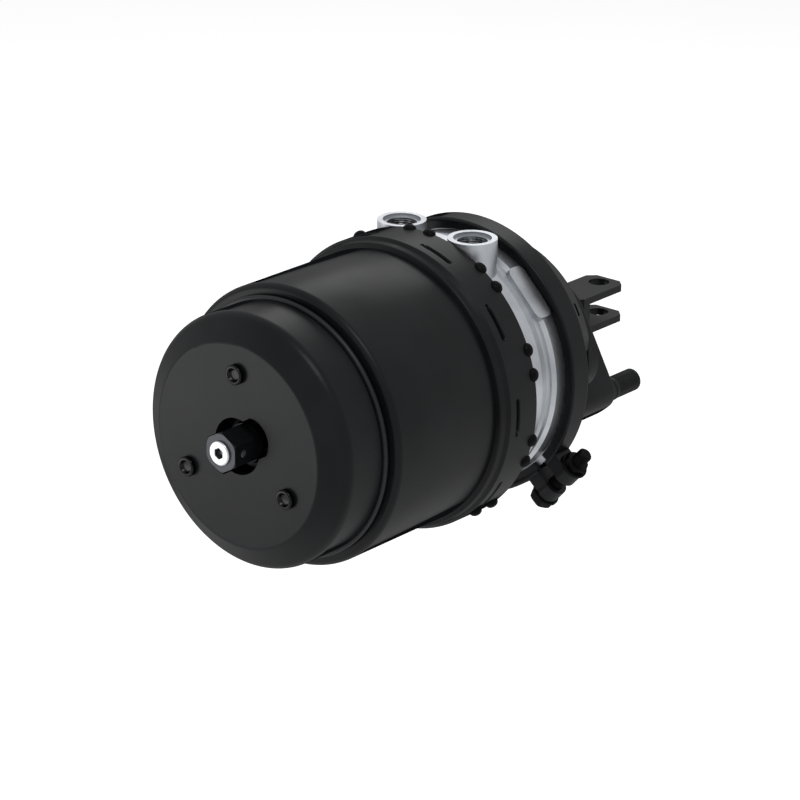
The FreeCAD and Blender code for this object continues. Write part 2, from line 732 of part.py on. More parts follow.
# Intermediate flange: an aluminium casting with both ports, the tube's bore and the clamped rim
def make_flange():
    body = turned("flange_casting", [
        ("x_flange_front", "tube_radius + hub_clearance / 2"),
        ("x_flange_front", "bore_radius - seat_gap"),
        ("x_spigot", "bore_radius - seat_gap"),
        ("x_spigot", "spigot_radius"),
        ("x_lock_slot - 0.9 * lock_slot_width", "spigot_radius"),
        ("x_lock_slot - 0.9 * lock_slot_width", "spigot_radius - lock_groove_depth"),
        ("x_lock_slot + 0.9 * lock_slot_width", "spigot_radius - lock_groove_depth"),
        ("x_lock_slot + 0.9 * lock_slot_width", "spigot_radius"),
        ("x_oring - 1.1 * oring_wire", "spigot_radius"),
        ("x_oring - 1.1 * oring_wire", "spigot_radius - 2 * oring_wire + seat_gap"),
        ("x_oring + 1.1 * oring_wire", "spigot_radius - 2 * oring_wire + seat_gap"),
        ("x_oring + 1.1 * oring_wire", "spigot_radius"),
        ("x_collar", "spigot_radius"),
        ("x_collar", "flange_rib_radius"),
        ("x_neck - 25", "flange_rib_radius"),
        ("x_neck - 23.4", "flange_groove_radius"),
        ("x_neck - 22", "flange_groove_radius"),
        ("x_neck - 20.4", "flange_rib_radius"),
        ("x_neck - 17.6", "flange_rib_radius"),
        ("x_neck - 15.4", "flange_groove_radius + 0.6"),
        ("x_neck - 13", "flange_groove_radius + 0.6"),
        ("x_neck - 11", "flange_neck_radius"),
        ("x_neck", "flange_neck_radius"),
        ("x_flange_rim", "rim_radius"),
        ("x_diaphragm_front", "rim_radius"),
        ("x_diaphragm_front", "flange_cavity_radius"),
        ("x_web_back", "flange_cavity_radius"),
        ("x_web_back", "flange_hub_radius"),
        ("x_hub_back", "flange_hub_radius"),
        ("x_hub_back", "tube_radius + hub_clearance / 2"),
        ("x_hub_back - 6", "tube_radius + hub_clearance / 2"),
        ("x_hub_back - 6", "tube_radius + tube_ring_depth"),
        ("x_hub_back - 6 - tube_bush_length", "tube_radius + tube_ring_depth"),
        ("x_hub_back - 6 - tube_bush_length", "tube_radius + hub_clearance / 2"),
        ("x_flange_front + 6 + tube_seal_length", "tube_radius + hub_clearance / 2"),
        ("x_flange_front + 6 + tube_seal_length", "tube_radius + tube_ring_depth"),
        ("x_flange_front + 6", "tube_radius + tube_ring_depth"),
        ("x_flange_front + 6", "tube_radius + hub_clearance / 2"),
    ])
    solids = []
    tools = []
    for side, tag in ((1, "service"), (-1, "spring")):
        y = "%d * port_half_pitch" % side
        solids.append(post("boss_" + tag, "port_boss_radius", "flange_cavity_radius - 4", "port_top",
                           "-port_back", y))
        tools.append(post("thread_" + tag, "port_thread_radius", "port_top - port_thread_depth",
                          "port_top", "-port_back", y))
        tools.append(post("recess_" + tag, "port_recess_radius", "port_top - port_recess_depth",
                          "port_top", "-port_back", y))
    tools.append(post("passage_service", "port_passage_radius", "flange_cavity_radius - 20",
                      "port_top - port_thread_depth", "-port_back", "port_half_pitch"))
    spring_z = size("port_top") - size("port_thread_depth") + 1
    tools.append(rod("passage_spring", "x_flange_front - 2", "-port_back - x_flange_front + 2",
                     "port_passage_radius", -size("port_half_pitch"), spring_z))
    bridge = doc.addObject("Part::Box", "bridge")
    bridge.setExpression("Length", bound("bridge_length"))
    bridge.setExpression("Width", bound("2 * port_half_pitch"))
    bridge.setExpression("Height", bound("bridge_height - flange_cavity_radius"))
    bridge.setExpression("Placement.Base.x", bound("-port_back - bridge_length / 2"))
    bridge.setExpression("Placement.Base.y", bound("-port_half_pitch"))
    bridge.setExpression("Placement.Base.z", bound("flange_cavity_radius"))
    solids.append(bridge)
    pad = doc.addObject("Part::Box", "rating_pad")
    pad.setExpression("Length", bound("flange_pad_length"))
    pad.setExpression("Width", bound("flange_pad_width"))
    pad.setExpression("Height", bound("flange_pad_radius - flange_cavity_radius - 4"))
    corners = doc.addObject("Part::Fillet", "rating_pad_round")
    corners.Base = pad
    doc.recompute()
    upright = []
    for index, edge in enumerate(pad.Shape.Edges, start=1):
        if abs(edge.Length - pad.Height.Value) < 0.001:
            upright.append((index, size("flange_pad_round"), size("flange_pad_round")))
    corners.Edges = upright
    turn = FreeCAD.Rotation(X_AXIS, size("flange_pad_angle") - 90)
    low = V(size("x_neck") - size("flange_pad_length") - size("flange_pad_inset"),
            -size("flange_pad_width") / 2, size("flange_cavity_radius") + 4)
    corners.Placement = FreeCAD.Placement(turn.multVec(low), turn)
    solids.append(corners)
    # what stands on the collar starts inside its wall, clear of the cavity
    core = rod("collar_core", "x_flange_front - 10", "120", "flange_cavity_radius + 3")
    raised = cut("flange_raised", joined("flange_bosses", solids), core)
    return cut("flange", joined("flange_solid", [body, raised]), joined("port_cuts", tools))


def make_flange_rings():
    ring = doc.addObject("Part::Torus", "flange_seal")
    ring.Placement = FreeCAD.Placement(V(0, 0, 0), ALONG_X)
    ring.setExpression("Placement.Base.x", bound("x_oring"))
    ring.setExpression("Radius1", bound("spigot_radius - oring_wire + seat_gap - 0.15"))
    ring.setExpression("Radius2", bound("oring_wire - oring_squeeze"))
    seal = make_ring("tube_seal", "x_flange_front + 6.1", "tube_seal_length - 0.2",
                     "tube_radius + running_gap", "tube_radius + tube_ring_depth - 0.05")
    bush = make_ring("tube_bush", "x_hub_back - 5.9 - tube_bush_length", "tube_bush_length - 0.2",
                     "tube_radius + running_gap", "tube_radius + tube_ring_depth - 0.05")
    return ring, seal, bush


# Rubber diaphragm: its bead is clamped, its cup lies in the flange at rest
def make_diaphragm():
    return turned("diaphragm", [
        ("x_cup", "0"),
        ("x_cup", "diaphragm_cup_radius"),
        ("x_diaphragm_front - 0.2", "diaphragm_bead_inner - seat_gap"),
        ("x_diaphragm_front + 0.05", "diaphragm_bead_inner - seat_gap"),
        ("x_diaphragm_front + 0.05", "rim_radius - 0.5"),
        ("x_diaphragm_back - 0.05", "rim_radius - 0.5"),
        ("x_diaphragm_back - 0.05", "diaphragm_bead_inner - seat_gap"),
        ("x_cup + diaphragm_thickness", "diaphragm_cup_radius - 1"),
        ("x_cup + diaphragm_thickness", "0"),
    ])


def stud_places():
    """Y and Z of the two studs, both below the push rod."""
    spread = size("stud_spread")
    return [polar(size("stud_circle_radius"), -90 + side * spread) for side in (-1, 1)]


def fan(tag, start, length, inset):
    """The pad's shape along X: a round crown above and sides that spread to an arc below."""
    crown = "( pad_crown_radius - %s )" % inset
    reach = "( pad_reach - %s )" % inset
    side_y = crown + " * cos ( pad_lean )"
    side_z = crown + " * sin ( pad_lean )"
    low_y = "( %s + ( %s + %s + 1 ) * tan ( pad_lean ) )" % (side_y, side_z, reach)
    body = doc.addObject("PartDesign::Body", "pad_%s_wedge" % tag)
    sketch = outline_sketch(body, [
        (side_y, side_z),
        ("-1 * " + side_y, side_z),
        ("-1 * " + low_y, "-1 * ( %s + 1 )" % reach),
        (low_y, "-1 * ( %s + 1 )" % reach),
    ], "YZ_Plane")
    wedge = body.newObject("PartDesign::Pad", "pad_%s_run" % tag)
    wedge.Profile = sketch
    wedge.setExpression("Length", bound(length))
    body.setExpression("Placement.Base.x", bound(start))
    within = doc.addObject("Part::Common", "pad_%s_sector" % tag)
    within.Base = body
    within.Tool = rod("pad_%s_disc" % tag, start, length, reach)
    whole = joined("pad_" + tag, [within, rod("pad_%s_crown" % tag, start, length, crown)])
    doc.recompute()
    corners = doc.addObject("Part::Fillet", "pad_%s_corners" % tag)
    corners.Base = whole
    radius = number("pad_corner_round - " + inset)
    lowest = min(edge.BoundBox.ZMin for edge in whole.Shape.Edges if edge.BoundBox.YLength < 0.01)
    edges = []
    for index, edge in enumerate(whole.Shape.Edges, start=1):
        lies_along = edge.BoundBox.YLength < 0.01 and edge.BoundBox.ZLength < 0.01
        if lies_along and edge.BoundBox.ZMin < lowest + 1:
            edges.append((index, radius, radius))
    corners.Edges = edges
    return corners


# Service housing: a drawn bowl that runs into the fan-shaped mounting pad
def make_service_housing():
    outer_bowl = turned("bowl_outside", [
        ("x_diaphragm_back", "0"),
        ("x_diaphragm_back", "rim_radius"),
        ("x_diaphragm_back + housing_wall", "rim_radius"),
        ("x_diaphragm_back + housing_wall + rim_flank", "bowl_neck_radius"),
        ("x_diaphragm_back + housing_wall + bowl_neck_length", "bowl_neck_radius"),
        ("x_bowl_rim", "bowl_rim_radius"),
        ("x_bowl_rim", "0"),
    ])
    rounded(outer_bowl, [(size("x_bowl_rim"), size("bowl_rim_radius"))], "bowl_rim_round")
    inner_bowl = turned("bowl_inside", [
        ("x_diaphragm_back - 1", "0"),
        ("x_diaphragm_back - 1", "bowl_neck_radius - housing_wall"),
        ("x_diaphragm_back + housing_wall + bowl_neck_length", "bowl_neck_radius - housing_wall"),
        ("x_bowl_rim - housing_wall", "bowl_rim_radius - housing_wall - 0.6"),
        ("x_bowl_rim - housing_wall", "0"),
    ])
    pad_run = "pad_height + 8"
    outer_pad = fan("outside", "x_bowl_rim - 8", pad_run, "0")
    doc.recompute()
    soft = doc.addObject("Part::Fillet", "pad_rounded")
    soft.Base = outer_pad
    edges = []
    for index, edge in enumerate(outer_pad.Shape.Edges, start=1):
        if edge.BoundBox.XMin > -0.01:
            edges.append((index, size("pad_edge_round"), size("pad_edge_round")))
    soft.Edges = edges
    inner_pad = fan("inside", "x_bowl_rim - 16", "pad_height + 16 - pad_wall", "housing_wall")
    tools = [inner_bowl, inner_pad]
    tools.append(rod("rod_opening", "-20", "40", "rod_opening_radius"))
    for i, (y, z) in enumerate(stud_places()):
        tools.append(rod("stud_hole_%d" % i, "-20", "40", "stud_neck_radius + thread_gap", y, z))
    ring = rod("drain_core", "x_bowl_rim - 20", "20", "bowl_rim_radius - 9")
    slots = []
    for i, (first, arc) in enumerate(((171, 18), (147, 6.5), (21, 18), (-39, 18))):
        slot = doc.addObject("Part::Cylinder", "drain_%d" % i)
        turn = FreeCAD.Rotation(X_AXIS, first + 90)
        slot.Placement = FreeCAD.Placement(V(0, 0, 0), turn * ALONG_X)
        slot.setExpression("Placement.Base.x", bound("x_bowl_rim - drain_slot_inset - drain_slot_width"))
        slot.setExpression("Height", bound("drain_slot_width"))
        slot.setExpression("Radius", bound("bowl_rim_radius + 20"))
        slot.Angle = arc
        slots.append(slot)
    tools.append(cut("drain_slots", joined("drain_sectors", slots), ring))
    return cut("service_housing", joined("housing_outside", [outer_bowl, soft]),
               joined("housing_inside", tools))


def make_studs():
    studs = []
    for i, (y, z) in enumerate(stud_places()):
        tag = "_%d" % i
        shank = rod("stud_shank" + tag, "x_pad_inside - 1", "pad_wall + stud_length + 1",
                    "stud_radius", y, z)
        neck = rod("stud_neck" + tag, "x_pad_inside - 1", "pad_wall + stud_neck_reach + 1",
                   "stud_neck_radius", y, z)
        head = rod("stud_head" + tag, "x_pad_inside - stud_head_height - 0.05", "stud_head_height",
                   "stud_head_radius", y, z)
        tip = doc.addObject("Part::Chamfer", "stud" + tag)
        tip.Base = joined("stud_solid" + tag, [shank, neck, head])
        doc.recompute()
        for index, edge in enumerate(tip.Base.Shape.Edges, start=1):
            if edge.BoundBox.XMin > size("stud_length") - 0.01:
                tip.Edges = [(index, size("stud_end_chamfer"), size("stud_end_chamfer"))]
        studs.append(tip)
    return grouped("mounting_studs", studs)


# Clamp ring: one split band with two sloped legs that pull the rims together
def make_clamp():
    front = "x_seal - clamp_front"
    back = "x_seal + clamp_back"
    inside = "clamp_radius - clamp_wall"
    foot = "clamp_radius - clamp_wall - clamp_leg_depth"
    front_leg = "x_flange_rim - clamp_seat_gap"
    back_leg = "x_diaphragm_back + housing_wall + clamp_seat_gap"
    band = turned("clamp_band", [
        (front, inside),
        (front, "clamp_radius"),
        (back, "clamp_radius"),
        (back + " + rim_flank", foot),
        (back_leg + " + rim_flank", foot),
        (back_leg, inside),
        (front_leg, inside),
        (front_leg + " - rim_flank", foot),
        (front_leg + " - rim_flank - clamp_leg", foot),
        (front_leg + " - clamp_leg", inside),
    ])
    rounded(band, [
        (size("x_seal") - size("clamp_front"), size("clamp_radius")),
        (size("x_seal") + size("clamp_back"), size("clamp_radius")),
    ], "clamp_corner_round")
    spin = FreeCAD.Rotation(X_AXIS, size("clamp_angle") - 90)
    reach = size("clamp_bolt_reach")
    lugs = []
    for side, tag in ((1, "a"), (-1, "b")):
        y_low = size("clamp_gap") / 2 if side > 0 else -size("clamp_gap") / 2 - size("lug_length")
        barrel = doc.addObject("Part::Cylinder", "lug_barrel_" + tag)
        barrel.setExpression("Radius", bound("lug_radius"))
        barrel.setExpression("Height", bound("lug_length"))
        barrel.Placement = FreeCAD.Placement(spin.multVec(V(size("x_seal") - 1.5, y_low, reach)),
                                             spin * FreeCAD.Rotation(X_AXIS, -90))
        root = doc.addObject("Part::Box", "lug_root_" + tag)
        root.setExpression("Length", bound("lug_width"))
        root.setExpression("Width", bound("lug_length"))
        root.setExpression("Height", bound("clamp_bolt_reach - clamp_radius + clamp_wall - 0.5"))
        corner = V(size("x_seal") - 1.5 - size("lug_width") / 2, y_low,
                   size("clamp_radius") - size("clamp_wall") + 0.5)
        root.Placement = FreeCAD.Placement(spin.multVec(corner), spin)
        lugs += [barrel, root]
    gap = doc.addObject("Part::Box", "clamp_split")
    gap.Length = 60
    gap.Height = 80
    gap.setExpression("Width", bound("clamp_gap"))
    corner = V(size("x_seal") - 30, -size("clamp_gap") / 2, 70)
    gap.Placement = FreeCAD.Placement(spin.multVec(corner), spin)
    hole = clamp_bar("clamp_hole", "clamp_bolt_radius + 2 * thread_gap", -40, 80)
    # the lugs are hollowed to the rims' radius, so that they bear only on the band
    core = rod("clamp_core", "x_seal - 30", "60", "rim_radius + 1.2")
    lug_solid = cut("clamp_lugs", joined("clamp_lug_pair", lugs), core)
    cuts = joined("clamp_cuts", [gap, hole])
    return cut("clamp_ring", joined("clamp_solid", [band, lug_solid]), cuts)


def clamp_bar(name, radius, start, length, sides=0):
    """A round or hexagonal bar along the clamp bolt's line, from the split's middle."""
    spin = FreeCAD.Rotation(X_AXIS, size("clamp_angle") - 90)
    kind = "Part::Prism" if sides else "Part::Cylinder"
    bar = doc.addObject(kind, name)
    if sides:
        bar.Polygon = sides
        bar.setExpression("Circumradius", bound(radius))
    else:
        bar.setExpression("Radius", bound(radius))
    bar.Height = length
    point = V(size("x_seal") - 1.5, start, size("clamp_bolt_reach"))
    bar.Placement = FreeCAD.Placement(spin.multVec(point), spin * FreeCAD.Rotation(X_AXIS, -90))
    return bar


def make_clamp_fasteners():
    # the bolt's head is on the -Y side of the split in the clamp's own frame
    face = size("clamp_gap") / 2 + size("lug_length") + 0.05
    collar = size("clamp_collar_height")
    height = size("clamp_head_height")
    corner = "clamp_head_flats / 1.7320508"
    shank = clamp_bar("clamp_shank", "clamp_bolt_radius", -face - 1, size("clamp_bolt_length"))
    flange = clamp_bar("clamp_head_collar", "clamp_collar_radius", -face - collar, collar)
    head = clamp_bar("clamp_head", corner, -face - collar - height, height + 0.5, 6)
    bolt = joined("clamp_bolt", [shank, flange, head])
    nut_collar = clamp_bar("nut_collar", "clamp_collar_radius", face, collar)
    nut_hex = clamp_bar("nut_hex", corner, face, size("clamp_nut_height") + collar, 6)
    bore = clamp_bar("nut_bore", "clamp_bolt_radius + thread_gap", face - 1, 30)
    nut = cut("clamp_nut", joined("nut_solid", [nut_collar, nut_hex]), bore)
    return bolt, nut


# Push plate, rod and clevis move together
def make_push_plate():
    plate = turned("push_plate", [
        ("x_plate_front", "push_rod_radius + thread_gap"),
        ("x_plate_front", "push_plate_radius"),
        ("x_plate_back + push_plate_rim", "push_plate_radius + 1.5"),
        ("x_plate_back + push_plate_rim", "push_plate_radius - 1.5"),
        ("x_plate_back", "push_plate_radius - 4"),
        ("x_plate_back", "push_rod_radius + thread_gap"),
    ])
    return plate


def make_push_rod():
    return rod("push_rod", "x_plate_front", "push_rod_reach - x_plate_front", "push_rod_radius")


def make_rod_nut():
    prism = hexagon("rod_nut_solid", "nut_start - 0.05", "rod_nut_height", "rod_nut_flats")
    bore = rod("rod_nut_bore", "nut_start - 1", "rod_nut_height + 2", "push_rod_radius + thread_gap")
    return cut("rod_nut", prism, bore)


# The clevis is a web with the rod's bore between two drilled ears
def make_clevis():
    web = padded("clevis_web_block", [
        ("clevis_start", "clevis_corner - clevis_half_width"),
        ("clevis_start", "clevis_half_width - clevis_corner"),
        ("clevis_start + clevis_corner", "clevis_half_width"),
        ("clevis_start + clevis_web", "clevis_half_width"),
        ("clevis_start + clevis_web", "-clevis_half_width"),
        ("clevis_start + clevis_corner", "-clevis_half_width"),
    ], "2 * ( clevis_half_height - clevis_ear )")
    bore = rod("clevis_bore", "clevis_start - 1", "clevis_web + 2", "push_rod_radius + thread_gap")
    return cut("clevis", web, bore)


def make_clevis_ears():
    outline = padded("clevis_ear_block", [
        ("clevis_start", "clevis_corner - clevis_half_width"),
        ("clevis_start", "clevis_half_width - clevis_corner"),
        ("clevis_start + clevis_corner", "clevis_half_width"),
        ("clevis_tip - clevis_corner", "clevis_half_width"),
        ("clevis_tip", "clevis_half_width - clevis_corner"),
        ("clevis_tip", "clevis_corner - clevis_half_width"),
        ("clevis_tip - clevis_corner", "-clevis_half_width"),
        ("clevis_start + clevis_corner", "-clevis_half_width"),
    ], "2 * clevis_half_height")
    gap = doc.addObject("Part::Box", "clevis_gap")
    gap.setExpression("Length", bound("2 * clevis_tip"))
    gap.setExpression("Width", bound("4 * clevis_half_width"))
    gap.setExpression("Height", bound("2 * ( clevis_half_height - clevis_ear )"))
    gap.setExpression("Placement.Base.x", bound("-clevis_tip / 2"))
    gap.setExpression("Placement.Base.y", bound("-2 * clevis_half_width"))
    gap.setExpression("Placement.Base.z", bound("clevis_ear - clevis_half_height"))
    hole = post("clevis_hole", "clevis_hole_radius", "-clevis_half_height - 1",
                "clevis_half_height + 1", "clevis_hole_reach", "0")
    return cut("clevis_ears", outline, joined("clevis_cuts", [gap, hole]))


def make_rod_boot():
    return turned("rod_boot", [
        ("x_pad_inside - rod_boot_length", "push_rod_radius + 5 * thread_gap"),
        ("x_pad_inside - rod_boot_length", "push_rod_radius + 3"),
        ("x_pad_inside - 2", "rod_boot_radius - 1"),
        ("x_pad_inside - 2", "rod_opening_radius + 2"),
        ("x_pad_inside - 0.05", "rod_opening_radius + 2"),
        ("x_pad_inside - 0.05", "rod_boot_radius - 0.5"),
        ("x_pad_inside - rod_boot_length + 2.5", "push_rod_radius + 5 * thread_gap"),
    ])


piston_seal, piston_guide = make_piston_rings()
flange_seal, tube_seal, tube_bush = make_flange_rings()
clamp_bolt, clamp_nut = make_clamp_fasteners()

NODES = {
    "spring_housing": make_spring_housing(),
    "end_cap": make_end_cap(),
    "lock_ring": make_lock_ring(),
    "vent_plugs": make_vent_plugs(),
    "release_guide": make_release_guide(),
    "release_bolt": make_release_bolt(),
    "release_washer": make_release_washer(),
    "cap_screw": make_cap_screw(),
    "power_spring": coil("power_spring", "power_spring_radius", "power_spring_wire",
                         "x_cap_inside + 0.05", "x_web_front - x_cap_inside - 0.1",
                         "power_spring_turns"),
    "spring_piston": make_spring_piston(),
    "piston_seal": piston_seal,
    "piston_guide": piston_guide,
    "piston_tube": make_piston_tube(),
    "tube_foot": make_tube_foot(),
    "flange": make_flange(),
    "flange_seal": flange_seal,
    "tube_seal": tube_seal,
    "tube_bush": tube_bush,
    "diaphragm": make_diaphragm(),
    "service_housing": make_service_housing(),
    "mounting_studs": make_studs(),
    "clamp_ring": make_clamp(),
    "clamp_bolt": clamp_bolt,
    "clamp_nut": clamp_nut,
    "push_plate": make_push_plate(),
    "push_rod": make_push_rod(),
    "return_spring": coil("return_spring", "return_spring_radius", "return_spring_wire",
                          "x_plate_back + 0.05", "x_pad_inside - x_plate_back - 0.1",
                          "return_spring_turns"),
    "rod_boot": make_rod_boot(),
    "rod_nut": make_rod_nut(),
    "clevis": make_clevis(),
    "clevis_ears": make_clevis_ears(),
}

doc.recompute()

faults = []
for item in doc.Objects:
    if "Invalid" in item.State or "Error" in item.State:
        faults.append("%s is %s, %s" % (item.Name, item.State, item.getStatusString()))
for node, item in NODES.items():
    item.Label = node
    shape = item.Shape
    if shape.isNull() or not shape.isValid() or not shape.Solids:
        faults.append("%s has no valid solid" % node)
if faults:
    raise RuntimeError("; ".join(faults))

os.makedirs("parts", exist_ok=True)
for node, item in NODES.items():
    item.Shape.exportStep("parts/%s.step" % node)
    print("%-16s solids %d volume %.0f" % (node, len(item.Shape.Solids), item.Shape.Volume))
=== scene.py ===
"""Looks of a double spring brake chamber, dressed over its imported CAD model."""
import math

import bmesh
import bpy
from mathutils import Matrix, Vector


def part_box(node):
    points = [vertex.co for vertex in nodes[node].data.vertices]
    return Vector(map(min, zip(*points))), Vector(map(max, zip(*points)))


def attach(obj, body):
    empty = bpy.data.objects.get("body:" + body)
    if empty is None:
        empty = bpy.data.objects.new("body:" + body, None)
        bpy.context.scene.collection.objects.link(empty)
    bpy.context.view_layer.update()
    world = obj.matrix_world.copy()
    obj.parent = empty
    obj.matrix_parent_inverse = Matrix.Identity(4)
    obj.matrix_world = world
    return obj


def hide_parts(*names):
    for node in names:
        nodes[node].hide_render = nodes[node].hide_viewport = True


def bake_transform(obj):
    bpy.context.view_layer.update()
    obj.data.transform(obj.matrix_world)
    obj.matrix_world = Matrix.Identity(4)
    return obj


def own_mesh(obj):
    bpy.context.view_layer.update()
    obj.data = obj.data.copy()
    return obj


MM = 0.001

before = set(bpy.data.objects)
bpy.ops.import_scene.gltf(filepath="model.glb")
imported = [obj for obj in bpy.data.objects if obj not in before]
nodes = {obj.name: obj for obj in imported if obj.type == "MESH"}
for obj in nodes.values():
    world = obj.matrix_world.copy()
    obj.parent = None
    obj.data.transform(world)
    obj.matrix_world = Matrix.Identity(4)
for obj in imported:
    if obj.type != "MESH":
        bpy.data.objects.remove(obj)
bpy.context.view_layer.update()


# Colours are written as sRGB hex values and turned to linear here
def tone(hex_value, alpha=1.0):
    """A linear colour from an sRGB hex value such as 0x1C1D1F."""
    channels = []
    for shift in (16, 8, 0):
        part = ((hex_value >> shift) & 0xFF) / 255
        channels.append(part / 12.92 if part <= 0.04045 else ((part + 0.055) / 1.055) ** 2.4)
    return (*channels, alpha)


NOISE = "ShaderNodeTexNoise"
RAMP = "ShaderNodeValToRGB"
BUMP = "ShaderNodeBump"
MATH = "ShaderNodeMath"


def put(tree, kind, settings=None, sockets=None, links=None, stops=(), to=None):
    """Any shader node, with its settings, socket values, links and colour stops.

    A link comes from an output, or from a node's first output. The new node's own first output
    goes to the socket given as to.
    """
    node = tree.nodes.new(kind)
    for name, value in (settings or {}).items():
        setattr(node, name, value)
    for name, value in (sockets or {}).items():
        node.inputs[name].default_value = value
    for name, source in (links or {}).items():
        output = source.outputs[0] if isinstance(source, bpy.types.Node) else source
        tree.links.new(output, node.inputs[name])
    for _ in stops[2:]:
        node.color_ramp.elements.new(0.5)
    for i, (position, colour) in enumerate(stops):
        node.color_ramp.elements[i].position = position
        node.color_ramp.elements[i].color = colour
    if to:
        tree.links.new(node.outputs[0], to)
    return node


def every(spacing):
    """The scale of a pattern whose features are this many millimetres apart."""
    return 1 / (spacing * MM)


def grey(level):
    """A grey for the stops that drive a roughness or a shine."""
    return (level, level, level, 1.0)


def finish_of(name, base, roughness, metallic=0.0, specular=0.5):
    """A material with its shader's sockets and the coordinates its patterns start from."""
    material = bpy.data.materials.new(name)
    material.use_nodes = True
    tree = material.node_tree
    tree.nodes.clear()
    shader = put(tree, "ShaderNodeBsdfPrincipled", sockets={
        "Base Color": base,
        "Roughness": roughness,
        "Metallic": metallic,
        "Specular IOR Level": specular,
    })
    put(tree, "ShaderNodeOutputMaterial", links={"Surface": shader})
    place = put(tree, "ShaderNodeTexCoord").outputs["Object"]
    return material, tree, shader.inputs, {"Vector": place}


def soft_sheen(tree, inputs, shine):
    """Sheen that fades towards grazing angles, as the micro-rough skin of a matt coat does."""
    facing = put(tree, "ShaderNodeLayerWeight", sockets={"Blend": 0.5}).outputs["Facing"]
    full = grey(shine)
    stops = [(0.0, full), (0.34, full), (0.56, grey(0.42 * shine)), (0.84, grey(0.0))]
    put(tree, RAMP, links={"Fac": facing}, stops=stops, to=inputs["Specular IOR Level"])


# Dip-coated deep-drawn steel: a thin black coat that shows a faint orange peel and soft cloudy sheen
def dip_coated_steel(name="dip_coated_steel", low=0x101113, high=0x18191B, gloss=0.31, shine=0.11,
                     fades=True):
    material, tree, inputs, place = finish_of(name, tone(low), gloss, specular=shine)
    if fades:
        soft_sheen(tree, inputs, shine)
    cloud = put(tree, NOISE, sockets={"Scale": every(38), "Detail": 3}, links=place)
    put(tree, RAMP, links={"Fac": cloud}, to=inputs["Base Color"],
        stops=[(0.3, tone(low)), (0.75, tone(high))])
    put(tree, RAMP, links={"Fac": cloud}, to=inputs["Roughness"],
        stops=[(0.25, grey(gloss - 0.04)), (0.8, grey(gloss + 0.06))])
    # orange peel is about 1.6 mm from crest to crest and ten microns deep
    peel = put(tree, NOISE, sockets={"Scale": every(1.6), "Detail": 1}, links=place)
    skin = put(tree, BUMP, sockets={"Strength": 0.4, "Distance": 0.01 * MM}, links={"Height": peel})
    # dust in the coat stands a few microns proud, and is drawn 1.1 mm wide so that it shows
    dust = put(tree, NOISE, sockets={"Scale": every(1.1), "Detail": 1}, links=place)
    put(tree, BUMP, sockets={"Strength": 0.3, "Distance": 0.006 * MM},
        links={"Height": dust, "Normal": skin}, to=inputs["Normal"])
    return material


# Die-cast aluminium, shot-blasted: pale grey metal with a fine even grain
def blasted_aluminium():
    material, tree, inputs, place = finish_of("blasted_aluminium", tone(0xA6A9AC), 0.42, metallic=1.0)
    cloud = put(tree, NOISE, sockets={"Scale": every(24), "Detail": 3}, links=place)
    put(tree, RAMP, links={"Fac": cloud}, to=inputs["Base Color"],
        stops=[(0.3, tone(0x9A9DA1)), (0.7, tone(0xB4B7BB))])
    # blasting grit leaves dents about 0.5 mm wide, drawn a little coarser so that they show
    grain = put(tree, NOISE, sockets={"Scale": every(0.7), "Detail": 3, "Roughness": 0.7}, links=place)
    put(tree, RAMP, links={"Fac": grain}, to=inputs["Roughness"],
        stops=[(0.3, grey(0.36)), (0.7, grey(0.5))])
    put(tree, BUMP, sockets={"Strength": 0.6, "Distance": 0.05 * MM}, links={"Height": grain},
        to=inputs["Normal"])
    return material


# Phosphate crystals are a few hundredths of a millimetre wide, drawn coarser so that they show
CRYSTAL = 0.9


# Phosphated steel: dark, dry and slightly crystalline, as on studs and bolts
def phosphated_steel(name="phosphated_steel", low=0x0C0D0E, high=0x18191B, rough=0.42, shine=0.14):
    material, tree, inputs, place = finish_of(name, tone(low), rough, specular=shine)
    soft_sheen(tree, inputs, shine)
    cloud = put(tree, NOISE, sockets={"Scale": every(9), "Detail": 2}, links=place)
    put(tree, RAMP, links={"Fac": cloud}, to=inputs["Base Color"],
        stops=[(0.3, tone(low)), (0.75, tone(high))])
    crystals = put(tree, NOISE, sockets={"Scale": every(CRYSTAL), "Detail": 2}, links=place)
    put(tree, RAMP, links={"Fac": crystals}, to=inputs["Roughness"],
        stops=[(0.3, grey(rough - 0.08)), (0.7, grey(rough + 0.08))])
    put(tree, BUMP, sockets={"Strength": 0.5, "Distance": 0.02 * MM}, links={"Height": crystals},
        to=inputs["Normal"])
    return material


# The release bolt: black forging with its end face turned bare, which shows grey lathe rings
def faced_forging(face_x):
    material, tree, inputs, place = finish_of("faced_forging", tone(0x0D0E0F), 0.36, specular=0.12)
    along = put(tree, "ShaderNodeSeparateXYZ", links=place)
    on_face = put(tree, MATH, {"operation": "LESS_THAN"}, {1: face_x}, {0: along},
                  to=inputs["Metallic"])
    crystals = put(tree, NOISE, sockets={"Scale": every(CRYSTAL), "Detail": 2}, links=place)
    skin = put(tree, RAMP, links={"Fac": crystals},
               stops=[(0.3, tone(0x090A0B)), (0.75, tone(0x191A1C))])
    bare = put(tree, RAMP, links={"Fac": crystals},
               stops=[(0.3, tone(0x343537)), (0.75, tone(0x404144))])
    # a colour mix has its two colours on sockets 6 and 7 and its result on output 2
    colour = put(tree, "ShaderNodeMix", {"data_type": "RGBA"}, links={0: on_face, 6: skin, 7: bare})
    tree.links.new(colour.outputs[2], inputs["Base Color"])
    # the tool leaves much finer rings, drawn 2 mm apart so that they show
    rings = put(tree, "ShaderNodeTexWave", {"wave_type": "RINGS", "rings_direction": "X"},
                {"Scale": every(2), "Distortion": 0.3}, place)
    put(tree, BUMP, sockets={"Strength": 0.3, "Distance": 0.01 * MM},
        links={"Height": rings.outputs["Fac"]}, to=inputs["Normal"])
    return material


